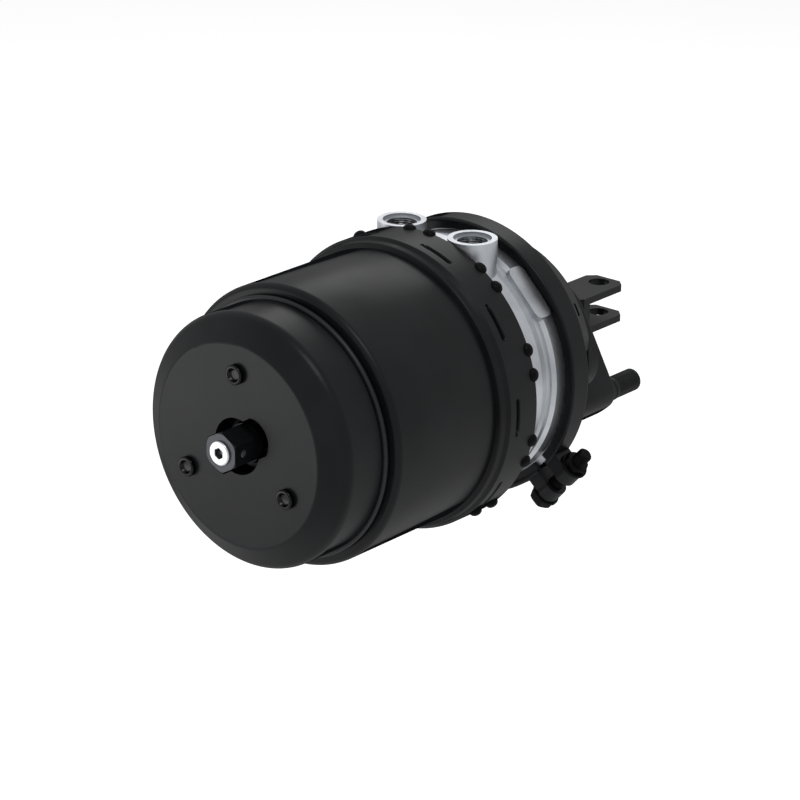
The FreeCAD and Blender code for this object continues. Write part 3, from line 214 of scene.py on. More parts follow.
# Bright zinc plate: white, lightly hazed metal with fine turning marks under it
def zinc_plate(name="zinc_plate", colour=0xBCBEC0, low=0.24, high=0.38):
    material, tree, inputs, place = finish_of(name, tone(colour), low, metallic=1.0)
    haze = put(tree, NOISE, sockets={"Scale": every(4), "Detail": 2}, links=place)
    put(tree, RAMP, links={"Fac": haze}, to=inputs["Roughness"],
        stops=[(0.3, grey(low)), (0.7, grey(high))])
    turning = put(tree, NOISE, sockets={"Scale": every(0.6), "Detail": 1}, links=place)
    put(tree, BUMP, sockets={"Strength": 0.4, "Distance": 0.01 * MM}, links={"Height": turning},
        to=inputs["Normal"])
    return material


# Ground steel: fine lines left by the grinding wheel round the tube
def ground_steel():
    material, tree, inputs, place = finish_of("ground_steel", tone(0xA9ABAE), 0.25, metallic=1.0)
    squeezed = put(tree, "ShaderNodeMapping", sockets={"Scale": (20, 1, 1)}, links=place)
    lines = put(tree, NOISE, sockets={"Scale": every(6), "Detail": 2}, links={"Vector": squeezed})
    put(tree, RAMP, links={"Fac": lines}, to=inputs["Roughness"],
        stops=[(0.3, grey(0.2)), (0.7, grey(0.34))])
    put(tree, BUMP, sockets={"Strength": 0.5, "Distance": 0.005 * MM}, links={"Height": lines},
        to=inputs["Normal"])
    return material


# Moulded rubber: deep black, no gloss, a soft bloom in patches
def moulded_rubber():
    material, tree, inputs, place = finish_of("moulded_rubber", tone(0x131314), 0.7, specular=0.35)
    bloom = put(tree, NOISE, sockets={"Scale": every(12), "Detail": 3}, links=place)
    put(tree, RAMP, links={"Fac": bloom}, to=inputs["Base Color"],
        stops=[(0.35, tone(0x101011)), (0.8, tone(0x222224))])
    skin = put(tree, NOISE, sockets={"Scale": every(0.8), "Detail": 2}, links=place)
    put(tree, BUMP, sockets={"Strength": 0.6, "Distance": 0.03 * MM}, links={"Height": skin},
        to=inputs["Normal"])
    return material


# Moulded nylon: black plastic with the shine of a polished mould
def moulded_nylon():
    material, tree, inputs, place = finish_of("moulded_nylon", tone(0x040405), 0.12, specular=0.15)
    soft_sheen(tree, inputs, 0.15)
    sheen = put(tree, NOISE, sockets={"Scale": every(7), "Detail": 2}, links=place)
    put(tree, RAMP, links={"Fac": sheen}, to=inputs["Roughness"],
        stops=[(0.3, grey(0.08)), (0.7, grey(0.16))])
    texture = put(tree, NOISE, sockets={"Scale": every(0.7), "Detail": 1}, links=place)
    put(tree, BUMP, sockets={"Strength": 0.4, "Distance": 0.01 * MM}, links={"Height": texture},
        to=inputs["Normal"])
    return material


# Oiled thread: old sealant and oil in a cut thread darken the steel between its crests. The same dark
# steel lines the screw's socket as painted shade.
def oiled_thread_and_socket_shade():
    material, tree, inputs, place = finish_of("oiled_thread_and_socket_shade", tone(0x4A4C4F), 0.3, metallic=1.0)
    film = put(tree, NOISE, sockets={"Scale": every(3), "Detail": 2}, links=place)
    put(tree, RAMP, links={"Fac": film}, to=inputs["Base Color"],
        stops=[(0.35, tone(0x2C2D2F)), (0.7, tone(0x6E7073))])
    marks = put(tree, NOISE, sockets={"Scale": every(0.7), "Detail": 1}, links=place)
    put(tree, BUMP, sockets={"Strength": 0.4, "Distance": 0.01 * MM}, links={"Height": marks},
        to=inputs["Normal"])
    return material


# Sizes in millimetres, as in the CAD, and places along the rod's axis from the mounting face
CAP_FACE = -323.5
CAP_RADIUS = 84.2
CAP_WALL = 3.5
RING_GROOVE = (-283.2, -277.4)
RING_GROOVE_RADIUS = 82.2
RING_HEIGHT = 4.4
BARREL_FRONT = -277.2
BARREL_RADIUS = 93.2
BARREL_ROUND = 6.0
CREASE = -181.8
BAND_FRONT = -173.3
BAND_BACK = -146.5
BAND_RADIUS = 99.3
BAND_EDGE = 1.5
BAND_STEP = 0.45
SHELL = 3.0
CREASE_DEPTH = 0.9
BEAD_RISE = 3.3
SLOPE_RISE = 4.0
SLOT_X = -166.0
SLOT_HALF_WIDTH = 1.8
SLOT_HALF_ANGLE = 6.8
SLOT_COUNT = 10
SLOT_DEPTH = 2.3
SLOT_EDGE = 0.3
PIP_RADIUS = 1.1
PIP_GAP = 3.4
LUG_LENGTH = 4.0
LUG_HALF_WIDTH = 4.6
LUG_HEIGHT = 3.2
LUG_SETBACK = 1.0
LUG_REACH = 98.8
LUG_SPREAD = 4.8
PLUG_CIRCLE = 48.1
PLUG_RADIUS = 6.7
PLUG_HEIGHT = 3.7
PLUG_DISH = 2.4
PLUG_COUNT = 3


def rounded_outline(corners, steps=5):
    """(x, radius) points of a closed outline from corners (x, radius, rounding)."""
    points = []
    count = len(corners)
    for i, (x, radius, bend) in enumerate(corners):
        here = Vector((x, radius))
        if not bend:
            points.append(here)
            continue
        before = Vector(corners[i - 1][:2]) - here
        after = Vector(corners[(i + 1) % count][:2]) - here
        half = before.angle(after) / 2
        reach = min(bend / math.tan(half), 0.49 * before.length, 0.49 * after.length)
        middle = (before.normalized() + after.normalized()).normalized()
        centre = here + middle * reach / math.cos(half)
        first = here + before.normalized() * reach - centre
        last = here + after.normalized() * reach - centre
        for k in range(steps + 1):
            spoke = first.lerp(last, k / steps)
            points.append(centre + spoke.normalized() * first.length)
    return points


def dense(outline, step):
    """The same open outline with points no further apart than a step."""
    points = [outline[0]]
    for end in outline[1:]:
        start = points[-1]
        parts = max(1, math.ceil((end - start).length / step))
        points += [start.lerp(end, (k + 1) / parts) for k in range(parts)]
    return points


def lathe(name, outline, steps=180, shape=None, sharp=38):
    """A mesh turned about X from a closed outline in millimetres.

    shape(x, radius, degrees) gives the point's own x and radius where the piece isn't round.
    """
    points = []
    count = len(outline)
    for i in range(steps):
        degrees = 360 * i / steps
        turn = math.radians(degrees)
        for x, radius in outline:
            if shape:
                x, radius = shape(x, radius, degrees)
            points.append((x * MM, radius * math.cos(turn) * MM, radius * math.sin(turn) * MM))
    faces = []
    for i in range(steps):
        onward = (i + 1) % steps
        for j in range(count):
            k = (j + 1) % count
            faces.append((i * count + j, i * count + k, onward * count + k, onward * count + j))
    mesh = bpy.data.meshes.new(name)
    mesh.from_pydata(points, [], faces)
    made = bmesh.new()
    made.from_mesh(mesh)
    bmesh.ops.remove_doubles(made, verts=made.verts, dist=1e-6)
    bmesh.ops.recalc_face_normals(made, faces=made.faces)
    made.to_mesh(mesh)
    made.free()
    smooth(mesh, sharp)
    return mesh


def smooth(mesh, sharp):
    for face in mesh.polygons:
        face.use_smooth = True
    mesh.set_sharp_from_angle(angle=math.radians(sharp))


def piece(name, mesh, finish, body, slot, *stands_for):
    """An object for a mesh, with its finish and the CAD body that carries it."""
    mesh.materials.clear()
    mesh.materials.append(finish)
    made = bpy.data.objects.new(name, mesh)
    bpy.context.scene.collection.objects.link(made)
    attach(made, body)
    if stands_for:
        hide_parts(*stands_for)
    return made


def merged(name, meshes, sharp=38):
    """One mesh from several."""
    made = bmesh.new()
    for mesh in meshes:
        made.from_mesh(mesh)
        bpy.data.meshes.remove(mesh)
    whole = bpy.data.meshes.new(name)
    made.to_mesh(whole)
    made.free()
    smooth(whole, sharp)
    return whole


def apart(degrees, middle):
    """The smallest angle from a middle, in degrees."""
    return (degrees - middle + 180) % 360 - 180


def slot_depth(x, degrees):
    """How far a point of the band lies inside a lock slot or its pip, from 0 to 1."""
    pitch = 360 / SLOT_COUNT
    number = round(degrees / pitch)
    along = apart(degrees, number * pitch)
    across = x - SLOT_X
    to_mm = math.radians(1) * BAND_RADIUS
    run = SLOT_HALF_ANGLE * to_mm - SLOT_HALF_WIDTH
    over = max(abs(along) * to_mm - run, 0)
    inside = SLOT_HALF_WIDTH - math.hypot(over, across)
    end = -1 if number % SLOT_COUNT < 5 else 1
    pip = PIP_RADIUS - math.hypot(along * to_mm - end * (run + PIP_GAP), across)
    return min(max(max(inside, pip) / SLOT_EDGE, 0), 1)


def band_shape(x, radius, degrees):
    """Sinks the band's outside by a slot's depth, and leaves the rest of the housing round."""
    if x < BAND_FRONT or radius < BAND_RADIUS - BAND_EDGE:
        return x, radius
    return x, radius - SLOT_DEPTH * slot_depth(x, degrees)


def spring_housing():
    """The drawn shell: rounded front, barrel, crease, rolled bead and band."""
    inner = BARREL_RADIUS - SHELL
    band_inner = BAND_RADIUS - SHELL
    mouth = CAP_RADIUS + 0.4
    outside = rounded_outline([
        (BARREL_FRONT, mouth, 0),
        (BARREL_FRONT, BARREL_RADIUS, BARREL_ROUND),
        (CREASE, BARREL_RADIUS, 0.5),
        (CREASE + 0.5, BARREL_RADIUS - CREASE_DEPTH, 0.3),
        (CREASE + 1.4, BARREL_RADIUS + BEAD_RISE, 1.2),
        (BAND_FRONT - 2.6, BARREL_RADIUS + SLOPE_RISE, 0.8),
        (BAND_FRONT - 0.4, BAND_RADIUS, 1.0),
        (BAND_BACK, BAND_RADIUS, 0.7),
        (BAND_BACK, band_inner, 0.2),
        (BAND_FRONT + 2, band_inner, 0),
        (CREASE + 3, inner, 0),
        (BARREL_FRONT + SHELL, inner, 0),
        (BARREL_FRONT + SHELL, mouth, 0),
    ])
    # only the band's stretches get close points, which its slots need
    outline = []
    for i, point in enumerate(outside):
        onward = outside[(i + 1) % len(outside)]
        outline.append(point)
        if min(point.x, onward.x) > BAND_FRONT - 3 and abs(onward.x - point.x) > 1:
            outline += dense([point, onward], BAND_STEP)[1:-1]
    return lathe("spring_housing_shell", outline, steps=900, shape=band_shape, sharp=50)


def crimp_lugs():
    """Domes pressed up in pairs at the band's rear edge, between the lock slots."""
    outline = []
    parts = 12
    for k in range(parts + 1):
        turn = math.pi * k / parts
        outline.append(Vector((-LUG_LENGTH * math.cos(turn), max(math.sin(turn), 0.002))))
    domes = []
    pitch = 360 / SLOT_COUNT
    for i in range(SLOT_COUNT):
        for side in (-1, 1):
            mesh = lathe("lug", outline, steps=32)
            mesh.transform(Matrix.Diagonal((1, LUG_HALF_WIDTH, LUG_HEIGHT, 1)))
            place = Matrix.Translation(((BAND_BACK - LUG_SETBACK) * MM, 0, LUG_REACH * MM))
            degrees = (i + 0.5) * pitch + side * LUG_SPREAD - 90
            mesh.transform(Matrix.Rotation(math.radians(degrees), 4, "X") @ place)
            domes.append(mesh)
    return merged("crimp_lugs", domes, 60)


def lock_ring():
    """The bead that fills the groove between cap and barrel."""
    front = RING_GROOVE[0] + 1.0
    back = RING_GROOVE[1] - 1.0
    outline = rounded_outline([
        (front, RING_GROOVE_RADIUS + 0.1, 0),
        (front, RING_GROOVE_RADIUS + RING_HEIGHT, 1.7),
        (back, RING_GROOVE_RADIUS + RING_HEIGHT, 1.7),
        (back, RING_GROOVE_RADIUS + 0.1, 0),
    ], steps=7)
    return lathe("lock_ring_bead", outline, steps=360)


def vent_plugs():
    """Three push-in plugs, each a rounded rim round a dish."""
    face = CAP_FACE - PLUG_HEIGHT
    stem = PLUG_RADIUS - 2.1
    outline = rounded_outline([
        (face + PLUG_DISH, 0.01, 0),
        (face + PLUG_DISH, PLUG_RADIUS - 3.4, 1.2),
        (face, stem, 0.8),
        (face + 0.3, PLUG_RADIUS, 1.3),
        (CAP_FACE - 0.7, PLUG_RADIUS - 0.2, 0.5),
        (CAP_FACE - 0.3, PLUG_RADIUS - 0.9, 0),
        (CAP_FACE + 0.02, PLUG_RADIUS - 0.9, 0),
        (CAP_FACE + 0.02, stem, 0),
        (CAP_FACE + CAP_WALL + 3, stem, 0.6),
        (CAP_FACE + CAP_WALL + 3, 0.01, 0),
    ])
    plugs = []
    for i in range(PLUG_COUNT):
        mesh = lathe("plug", outline, steps=72)
        turn = math.radians(90 + 360 / PLUG_COUNT * i)
        across = PLUG_CIRCLE * MM
        mesh.transform(Matrix.Translation((0, across * math.cos(turn), across * math.sin(turn))))
        plugs.append(mesh)
    return merged("dished_plugs", plugs)


# Hexagons and threads: the turned chamfer on a hexagon's ends, and the one pitch of all the threads
CHAMFER_SLOPE = 0.55
CHAMFER_INSET = 0.4
THREAD_PITCH = 1.5


def hex_radius(flats, degrees):
    """How far a hexagon's side is from its middle, at an angle."""
    return flats / 2 / math.cos(math.radians((degrees + 30) % 60 - 30))


def hexagonal(name, front, back, flats, bore=0.01, chamfer=1.0, both=True):
    """A hexagonal bar along X with turned chamfers at one or both ends.

    It is made as a turned piece is, with each angle's radius the flat's, or the chamfer's if smaller.
    """
    tall = flats / math.sqrt(3) + 0.1
    turned = flats / 2 - CHAMFER_INSET
    outline = dense([Vector((front, flats / 2 - 0.6)), Vector((front + 0.001, turned)),
                     Vector((front + 3 * chamfer, tall)), Vector((back - 3 * chamfer, tall)),
                     Vector((back, flats / 2 - 0.6))], 0.5)
    outline += [Vector((back, bore)), Vector((front, bore))]

    def shape(x, radius, degrees):
        if radius <= bore + 0.001:
            return x, radius
        limit = turned + (x - front) / CHAMFER_SLOPE
        if both:
            limit = min(limit, turned + (back - x) / CHAMFER_SLOPE)
        return x, min(hex_radius(flats, degrees), limit)

    return lathe(name, outline, steps=216, shape=shape, sharp=30)


def threaded(name, front, back, radius, depth, run, tip=1.4):
    """A bar along X with a cut thread over one run of it and a chamfered end."""
    low, high = run
    outline = rounded_outline([
        (front, 0.01, 0),
        (front, radius, 0),
        (back - tip, radius, 0.3),
        (back, radius - tip, 0.4),
        (back, 0.01, 0),
    ], steps=2)
    outline = dense(outline, THREAD_PITCH / 6)

    def shape(x, reach, degrees):
        if reach < radius - tip - 0.2 or not low < x < high:
            return x, reach
        phase = ((x - low) / THREAD_PITCH - degrees / 360) % 1
        fade = min((x - low) / THREAD_PITCH, (high - x) / THREAD_PITCH, 1)
        groove = depth * (1 - abs(2 * phase - 1)) ** 1.2 * fade
        return x, min(reach, radius - groove)

    return lathe(name, outline, steps=60, shape=shape, sharp=60)


# Studs: head inside the bowl, a shoulder in the bowl's wall, a collar and a thread
STUD_RADIUS = 8.0
STUD_TIP = 53.0
STUD_CIRCLE = 60.325
STUD_ANGLES = (-120, -60)
STUD_SEAT = -4.5
STUD_HEAD_RADIUS = 9.2
STUD_HEAD_END = -11
STUD_SHOULDER_RADIUS = 8.4
STUD_SHOULDER_END = 0.8
STUD_COLLAR = (24.6, 26.6)
STUD_COLLAR_RISE = 0.35
STUD_THREAD_START = 27.5


def mounting_studs():
    """Both studs, each of four turned parts that run into one another."""
    studs = []
    low, high = STUD_COLLAR
    inside = STUD_RADIUS - 0.5
    outside = STUD_RADIUS + STUD_COLLAR_RISE
    under_head = STUD_SEAT + 0.45
    for degrees in STUD_ANGLES:
        shank = threaded("stud", STUD_SEAT, STUD_TIP, STUD_RADIUS, 0.4,
                         (STUD_THREAD_START, STUD_TIP - 1))
        head = lathe("stud_head", rounded_outline([
            (STUD_HEAD_END, 0.01, 0),
            (STUD_HEAD_END, STUD_HEAD_RADIUS, 1.0),
            (under_head, STUD_HEAD_RADIUS, 0.3),
            (under_head, 0.01, 0),
        ]), steps=60)
        collar = lathe("stud_collar", rounded_outline([
            (low, inside, 0),
            (low, outside, 0.3),
            (high, outside, 0.3),
            (high, inside, 0),
        ]), steps=60)
        shoulder = lathe("stud_shoulder", rounded_outline([
            (STUD_SEAT, inside, 0),
            (STUD_SEAT, STUD_SHOULDER_RADIUS, 0),
            (STUD_SHOULDER_END, STUD_SHOULDER_RADIUS, 0.3),
            (STUD_SHOULDER_END, inside, 0),
        ]), steps=60)
        turn = math.radians(degrees)
        across = STUD_CIRCLE * MM
        spot = Matrix.Translation((0, across * math.cos(turn), across * math.sin(turn)))
        for mesh in (shank, head, collar, shoulder):
            mesh.transform(spot)
            studs.append(mesh)
    return merged("threaded_studs", studs, 50)


# The release bolt's head: a socket screw in its face and a pin in its cross hole
RELEASE_FACE = -338.5
SCREW_FRONT = RELEASE_FACE - 1.9
SCREW_HEAD_RADIUS = 8.0
SCREW_SHANK_RADIUS = 4.0
SCREW_LENGTH = 12
SOCKET_RADIUS = 3.4
SOCKET_DEPTH = 3.4
CROSS_HOLE_X = -330.18
CROSS_PIN_RADIUS = 2.5
CROSS_PIN_REACH = 11.6


def cap_screw():
    """The socket screw in the release bolt's face."""
    bottom = SCREW_FRONT + SOCKET_DEPTH
    seat = RELEASE_FACE - 0.02
    tip = RELEASE_FACE + SCREW_LENGTH
    outline = rounded_outline([
        (bottom, 0.01, 0),
        (bottom, SOCKET_RADIUS, 0),
        (SCREW_FRONT, SOCKET_RADIUS, 0.2),
        (SCREW_FRONT, SCREW_HEAD_RADIUS, 1.3),
        (seat, SCREW_HEAD_RADIUS, 0.1),
        (seat, SCREW_SHANK_RADIUS, 0),
        (tip, SCREW_SHANK_RADIUS, 0.4),
        (tip, 0.01, 0),
    ])

    def shape(x, radius, degrees):
        if radius > SOCKET_RADIUS + 0.3 or radius < 0.1 or x > SCREW_FRONT + 4:
            return x, radius
        return x, hex_radius(2 * SOCKET_RADIUS, degrees) + radius - SOCKET_RADIUS

    return lathe("socket_screw", outline, steps=144, shape=shape)


def painted_socket_shade():
    """A thin dark liner in the screw's socket: painted shade in its hollow."""
    inner = SOCKET_RADIUS - 0.25
    outer = SOCKET_RADIUS - 0.02
    front = SCREW_FRONT + 0.7
    floor = SCREW_FRONT + SOCKET_DEPTH - 0.2
    back = SCREW_FRONT + SOCKET_DEPTH - 0.02
    corners = [
        (front, inner), (floor, inner), (floor, 0.01),
        (back, 0.01), (back, outer), (front, outer),
    ]
    outline = [Vector(corner) for corner in corners]

    def shape(x, radius, degrees):
        if radius < 0.1:
            return x, radius
        return x, hex_radius(2 * radius, degrees)

    return lathe("painted_socket_shade", outline, steps=72, shape=shape)


def cross_pin():
    """A plain pin in the head's cross hole, its ends a little under the flats."""
    mesh = lathe("cross_pin", rounded_outline([
        (-CROSS_PIN_REACH, 0.01, 0),
        (-CROSS_PIN_REACH, CROSS_PIN_RADIUS, 0.5),
        (CROSS_PIN_REACH, CROSS_PIN_RADIUS, 0.5),
        (CROSS_PIN_REACH, 0.01, 0),
    ]), steps=48)
    spot = Matrix.Translation((CROSS_HOLE_X * MM, 0, 0))
    mesh.transform(spot @ Matrix.Rotation(math.radians(90), 4, "Z"))
    return mesh


# Ports: where their threads start and end below the bosses' tops
PORT_X = -129.6
PORT_HALF_PITCH = 30.0
PORT_TOP = 96.3
PORT_BORE = 10.25
PORT_THREAD = (PORT_TOP - 14.8, PORT_TOP - 2.6)
PORT_CREST = 0.6


def port_threads():
    """Thread crests that stand in from the ports' bores, which are at the thread's minor size."""
    low, high = PORT_THREAD
    skin = PORT_BORE - 0.1
    root = PORT_BORE + 0.4
    outline = dense([Vector((low, skin)), Vector((high, skin))], THREAD_PITCH / 6)
    outline += [Vector((high, root)), Vector((low, root))]

    def shape(x, radius, degrees):
        if radius > PORT_BORE:
            return x, radius
        phase = ((x - low) / THREAD_PITCH - degrees / 360) % 1
        fade = min((high - x) / THREAD_PITCH, 1)
        return x, radius - PORT_CREST * (1 - abs(2 * phase - 1)) * fade

    rings = []
    for side in (-1, 1):
        mesh = lathe("port_thread", outline, steps=96, shape=shape, sharp=60)
        mesh.transform(Matrix.Rotation(math.radians(-90), 4, "Y"))
        mesh.transform(Matrix.Translation((PORT_X * MM, side * PORT_HALF_PITCH * MM, 0)))
        rings.append(mesh)
    return merged("port_thread_crests", rings, 60)


# Drain louvre: the bowl's wall is pressed out over a drain slot, which leaves a lens-shaped hood
LOUVRE_MIDDLE = 180.0
LOUVRE_HALF_ANGLE = 13.0
LOUVRE_FRONT = -64.5
LOUVRE_BACK = -50.5
LOUVRE_RISE = 4.2
LOUVRE_SWELL = 1.35
LOUVRE_SINK = 0.4
LOUVRE_WALL = 1.6
LOUVRE_STEPS = (40, 14)
BOWL_RIM_START = -58.0
BOWL_RIM_REACH = -56.0
BOWL_RIM_ROUND = 4.0
BOWL_BACK_RADIUS = 73.0
BOWL_TAPER = 13.0
BOWL_TAPER_LENGTH = 32.0


def bowl_radius(x):
    """Outside radius of the bowl's wall and of its rounded rim."""
    along = x - BOWL_RIM_START
    if along < 0:
        return BOWL_BACK_RADIUS + BOWL_TAPER * min(-along / BOWL_TAPER_LENGTH, 1)
    rounding = math.sqrt(max(BOWL_RIM_ROUND ** 2 - along ** 2, 0))
    return BOWL_BACK_RADIUS - BOWL_RIM_ROUND + rounding


def drain_louvre():
    """A hood that swells from the bowl's wall and keeps its full rise at the open end."""
    points = []
    steps_round, steps_along = LOUVRE_STEPS
    for i in range(steps_round + 1):
        off = 2 * i / steps_round - 1
        turn = math.radians(LOUVRE_MIDDLE + off * LOUVRE_HALF_ANGLE)
        lens = max(1 - off * off, 0)
        for j in range(steps_along + 1):
            part = j / steps_along
            x = LOUVRE_FRONT + (LOUVRE_BACK - LOUVRE_FRONT) * part
            rise = LOUVRE_RISE * lens * math.sin(min(part * LOUVRE_SWELL, 1) * math.pi / 2)
            reach = bowl_radius(min(x, BOWL_RIM_REACH)) + rise - LOUVRE_SINK
            points.append((x * MM, reach * math.cos(turn) * MM, reach * math.sin(turn) * MM))
    faces = []
    row = steps_along + 1
    for i in range(steps_round):
        for j in range(steps_along):
            a = i * row + j
            faces.append((a, a + 1, a + row + 1, a + row))
    mesh = bpy.data.meshes.new("louvre")
    mesh.from_pydata(points, [], faces)
    made = bmesh.new()
    made.from_mesh(mesh)
    bmesh.ops.recalc_face_normals(made, faces=made.faces)
    bmesh.ops.solidify(made, geom=made.faces[:], thickness=LOUVRE_WALL * MM)
    made.to_mesh(mesh)
    made.free()
    return merged("louvre_hoods", [mesh], 45)


# The clamp bolt's line: across the band's split, at its own angle about the rod's axis
CLAMP_ANGLE = -138.6
CLAMP_X = -94.2
CLAMP_REACH = 106.4
CLAMP_FACE = 16.05
CLAMP_BOLT_LENGTH = 48.0
CLAMP_BOLT_RADIUS = 5.0
CLAMP_FLATS = 15.0
CLAMP_COLLAR = 2.2
CLAMP_COLLAR_RADIUS = 9.6


def along_clamp_bolt():
    """Takes a piece turned about X to the clamp bolt's line, its zero at the split's middle."""
    spin = Matrix.Rotation(math.radians(CLAMP_ANGLE - 90), 4, "X")
    spot = Matrix.Translation((CLAMP_X * MM, 0, CLAMP_REACH * MM))
    return spin @ spot @ Matrix.Rotation(math.radians(90), 4, "Z")


def bearing_collar(front, back):
    """The round bearing face of a flanged bolt or nut."""
    radius = CLAMP_COLLAR_RADIUS
    return lathe("bearing_face", rounded_outline([
        (front, 0.5, 0),
        (front, radius, 0.5),
        (back, radius, 0.5),
        (back, 0.5, 0),
    ]), steps=72)


def clamp_bolt():
    tip = CLAMP_BOLT_LENGTH - CLAMP_FACE
    shank = threaded("bolt", -CLAMP_FACE - 1, tip, CLAMP_BOLT_RADIUS, 0.8, (-2, tip - 1))
    head = hexagonal("bolt_head", -CLAMP_FACE - 8.2, -CLAMP_FACE - 1.9, CLAMP_FLATS, both=False)
    collar = bearing_collar(-CLAMP_FACE - CLAMP_COLLAR, -CLAMP_FACE)
    whole = merged("clamp_bolt_threaded", [shank, head, collar], 40)
    whole.transform(along_clamp_bolt())
    return whole


def clamp_nut():
    collar = bearing_collar(CLAMP_FACE, CLAMP_FACE + CLAMP_COLLAR)
    block = hexagonal("nut_block", CLAMP_FACE + 0.5, CLAMP_FACE + 6.4, CLAMP_FLATS)
    whole = merged("clamp_nut_flanged", [collar, block], 40)
    whole.transform(along_clamp_bolt())
    return whole


# The push rod's threaded end and its nut
ROD_RADIUS = 8.0
ROD_THREAD_START = -30
NUT_FLATS = 24.0
NUT_FACES = (-0.05, 7.95)
NUT_BORE = 7.9


def push_rod():
    low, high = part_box("push_rod")
    front = low.x / MM
    back = high.x / MM
    return threaded("rolled_rod", front, back, ROD_RADIUS, 0.85, (ROD_THREAD_START, back - 1), tip=1.2)


def rod_nut():
    return hexagonal("chamfered_nut", *NUT_FACES, NUT_FLATS, bore=NUT_BORE)


coat = dip_coated_steel()
alloy = blasted_aluminium()
phosphate = phosphated_steel()
zinc = zinc_plate()
# zinc gone matt and grey with age
dull_zinc = zinc_plate("dull_zinc", 0x8E9093, 0.4, 0.55)
ground = ground_steel()
rubber = moulded_rubber()
nylon = moulded_nylon()
forging = faced_forging((RELEASE_FACE + 0.3) * MM)
# the lock ring stands proud, and its coat is lighter and shinier than the barrel's
bead_coat = dip_coated_steel("lighter_dip_coat", 0x161719, 0x222326, 0.34, 0.2)
# lacquer on the springs is smooth and nearly black
lacquer = dip_coated_steel("spring_lacquer", 0x0C0D0E, 0x161719, 0.3)
oil_film_and_socket_shade = oiled_thread_and_socket_shade()
# a deeper black, almost without shine: dark phosphate on the clamp bolt and nut, and painted shade on
# the crimp lugs, which fall dark at the band's rolled edge
deep_black_and_lug_shade = phosphated_steel("deep_black_and_lug_shade", 0x050506, 0x0B0B0C, 0.42, 0.05)
# a lighter coat on edges that keeps its shine at all angles: painted highlight lines along the edges
edge_highlight_paint = dip_coated_steel("painted_edge_highlights", 0x2A2B2D, 0x38393C, 0.3, 0.35, fades=False)

# The finish of each CAD node
FINISHES = {
    "spring_housing": coat,
    "end_cap": coat,
    "lock_ring": bead_coat,
    "vent_plugs": nylon,
    "release_guide": phosphate,
    "release_bolt": forging,
    "release_washer": phosphate,
    "cap_screw": zinc,
    "power_spring": lacquer,
    "spring_piston": alloy,
    "piston_seal": rubber,
    "piston_guide": nylon,
    "piston_tube": ground,
    "tube_foot": nylon,
    "flange": alloy,
    "flange_seal": rubber,
    "tube_seal": rubber,
    "tube_bush": nylon,
    "diaphragm": rubber,
    "service_housing": coat,
    "mounting_studs": phosphate,
    "clamp_ring": coat,
    "clamp_bolt": phosphate,
    "clamp_nut": phosphate,
    "push_plate": zinc,
    "push_rod": dull_zinc,
    "return_spring": lacquer,
    "rod_boot": rubber,
    "rod_nut": dull_zinc,
    "clevis": coat,
    "clevis_ears": coat,
}
for node_name, finish in FINISHES.items():
    mesh = nodes[node_name].data
    mesh.materials.clear()
    mesh.materials.append(finish)

piece("spring_housing_shell", spring_housing(), coat, "chamber", "black_coat", "spring_housing")
piece("lock_ring_bead", lock_ring(), bead_coat, "chamber", "worn_coat", "lock_ring")
# the lugs take the near-black finish without shine: painted shade at the band's rolled edge
piece("crimp_lugs", crimp_lugs(), deep_black_and_lug_shade, "chamber", "black_coat")
piece("louvre_hoods", drain_louvre(), coat, "chamber", "black_coat")
piece("dished_plugs", vent_plugs(), nylon, "chamber", "black_plastic", "vent_plugs")
piece("threaded_studs", mounting_studs(), phosphate, "chamber", "dark_steel", "mounting_studs")
piece("socket_screw", cap_screw(), zinc, "release_bolt", "zinc_steel", "cap_screw")
piece("cross_pin", cross_pin(), dull_zinc, "release_bolt", "zinc_steel")
# a dark liner in the screw's socket: painted shade in its hollow
piece("painted_socket_shade", painted_socket_shade(), oil_film_and_socket_shade, "release_bolt", "dark_steel")
piece("port_thread_crests", port_threads(), oil_film_and_socket_shade, "chamber", "cast_alloy")
piece("clamp_bolt_threaded", clamp_bolt(), deep_black_and_lug_shade, "chamber", "dark_steel", "clamp_bolt")
piece("clamp_nut_flanged", clamp_nut(), deep_black_and_lug_shade, "chamber", "dark_steel", "clamp_nut")
piece("rolled_rod", push_rod(), dull_zinc, "push_rod", "bare_steel", "push_rod")
piece("chamfered_nut", rod_nut(), dull_zinc, "push_rod", "zinc_steel", "rod_nut")


def copied(name, node_name):
    """A copy of a node's mesh in the shared frame."""
    node = nodes[node_name]
    mesh = node.data.copy()
    mesh.name = name
    mesh.transform(node.matrix_world)
    return mesh


def rolling_diaphragm():
    """The diaphragm, clamped at its rim, as a rubber copy of its CAD mesh fixed in the shared frame.
    """
    mesh = copied("rolling_diaphragm", "diaphragm")
    mesh.materials.clear()
    mesh.materials.append(rubber)
    made = bpy.data.objects.new("rolling_diaphragm", mesh)
    bpy.context.scene.collection.objects.link(made)
    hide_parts("diaphragm")
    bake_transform(made)


def coiled_return_spring():
    """The return spring, which bears on the bowl's end, as a copy of its CAD mesh that the chamber
    carries.
    """
    made = piece("coiled_return_spring", copied("coiled_return_spring", "return_spring"), lacquer,
                 "chamber", "spring_steel", "return_spring")
    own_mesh(made)


rolling_diaphragm()
coiled_return_spring()


# The imported meshes are split along their sharp edges, where a bevel finds nothing to round. Only the
# clamp ring has a few edges that aren't split, and there a small round carries a lighter coat: a
# painted highlight line.
EDGE_ROUND = 0.5
EDGE_ANGLE = math.radians(32)
ring_edge = nodes["clamp_ring"].modifiers.new("edge_round", "BEVEL")
ring_edge.width = EDGE_ROUND * MM
ring_edge.segments = 2
ring_edge.limit_method = "ANGLE"
ring_edge.angle_limit = EDGE_ANGLE
ring_edge.harden_normals = True
# the bevel's faces take the lighter coat: painted highlight lines on the ring's edges
nodes["clamp_ring"].data.materials.append(edge_highlight_paint)
ring_edge.material = 1


# Stage, in metres: a pale floor well below the chamber, which hangs from its mounting face
FLOOR_DEPTH = 0.42
FLOOR_SIZE = 14.0
FLOOR_GLOW = 0.5
FILL_LEVEL = 0.45
WHITE = tone(0xFFFFFF)


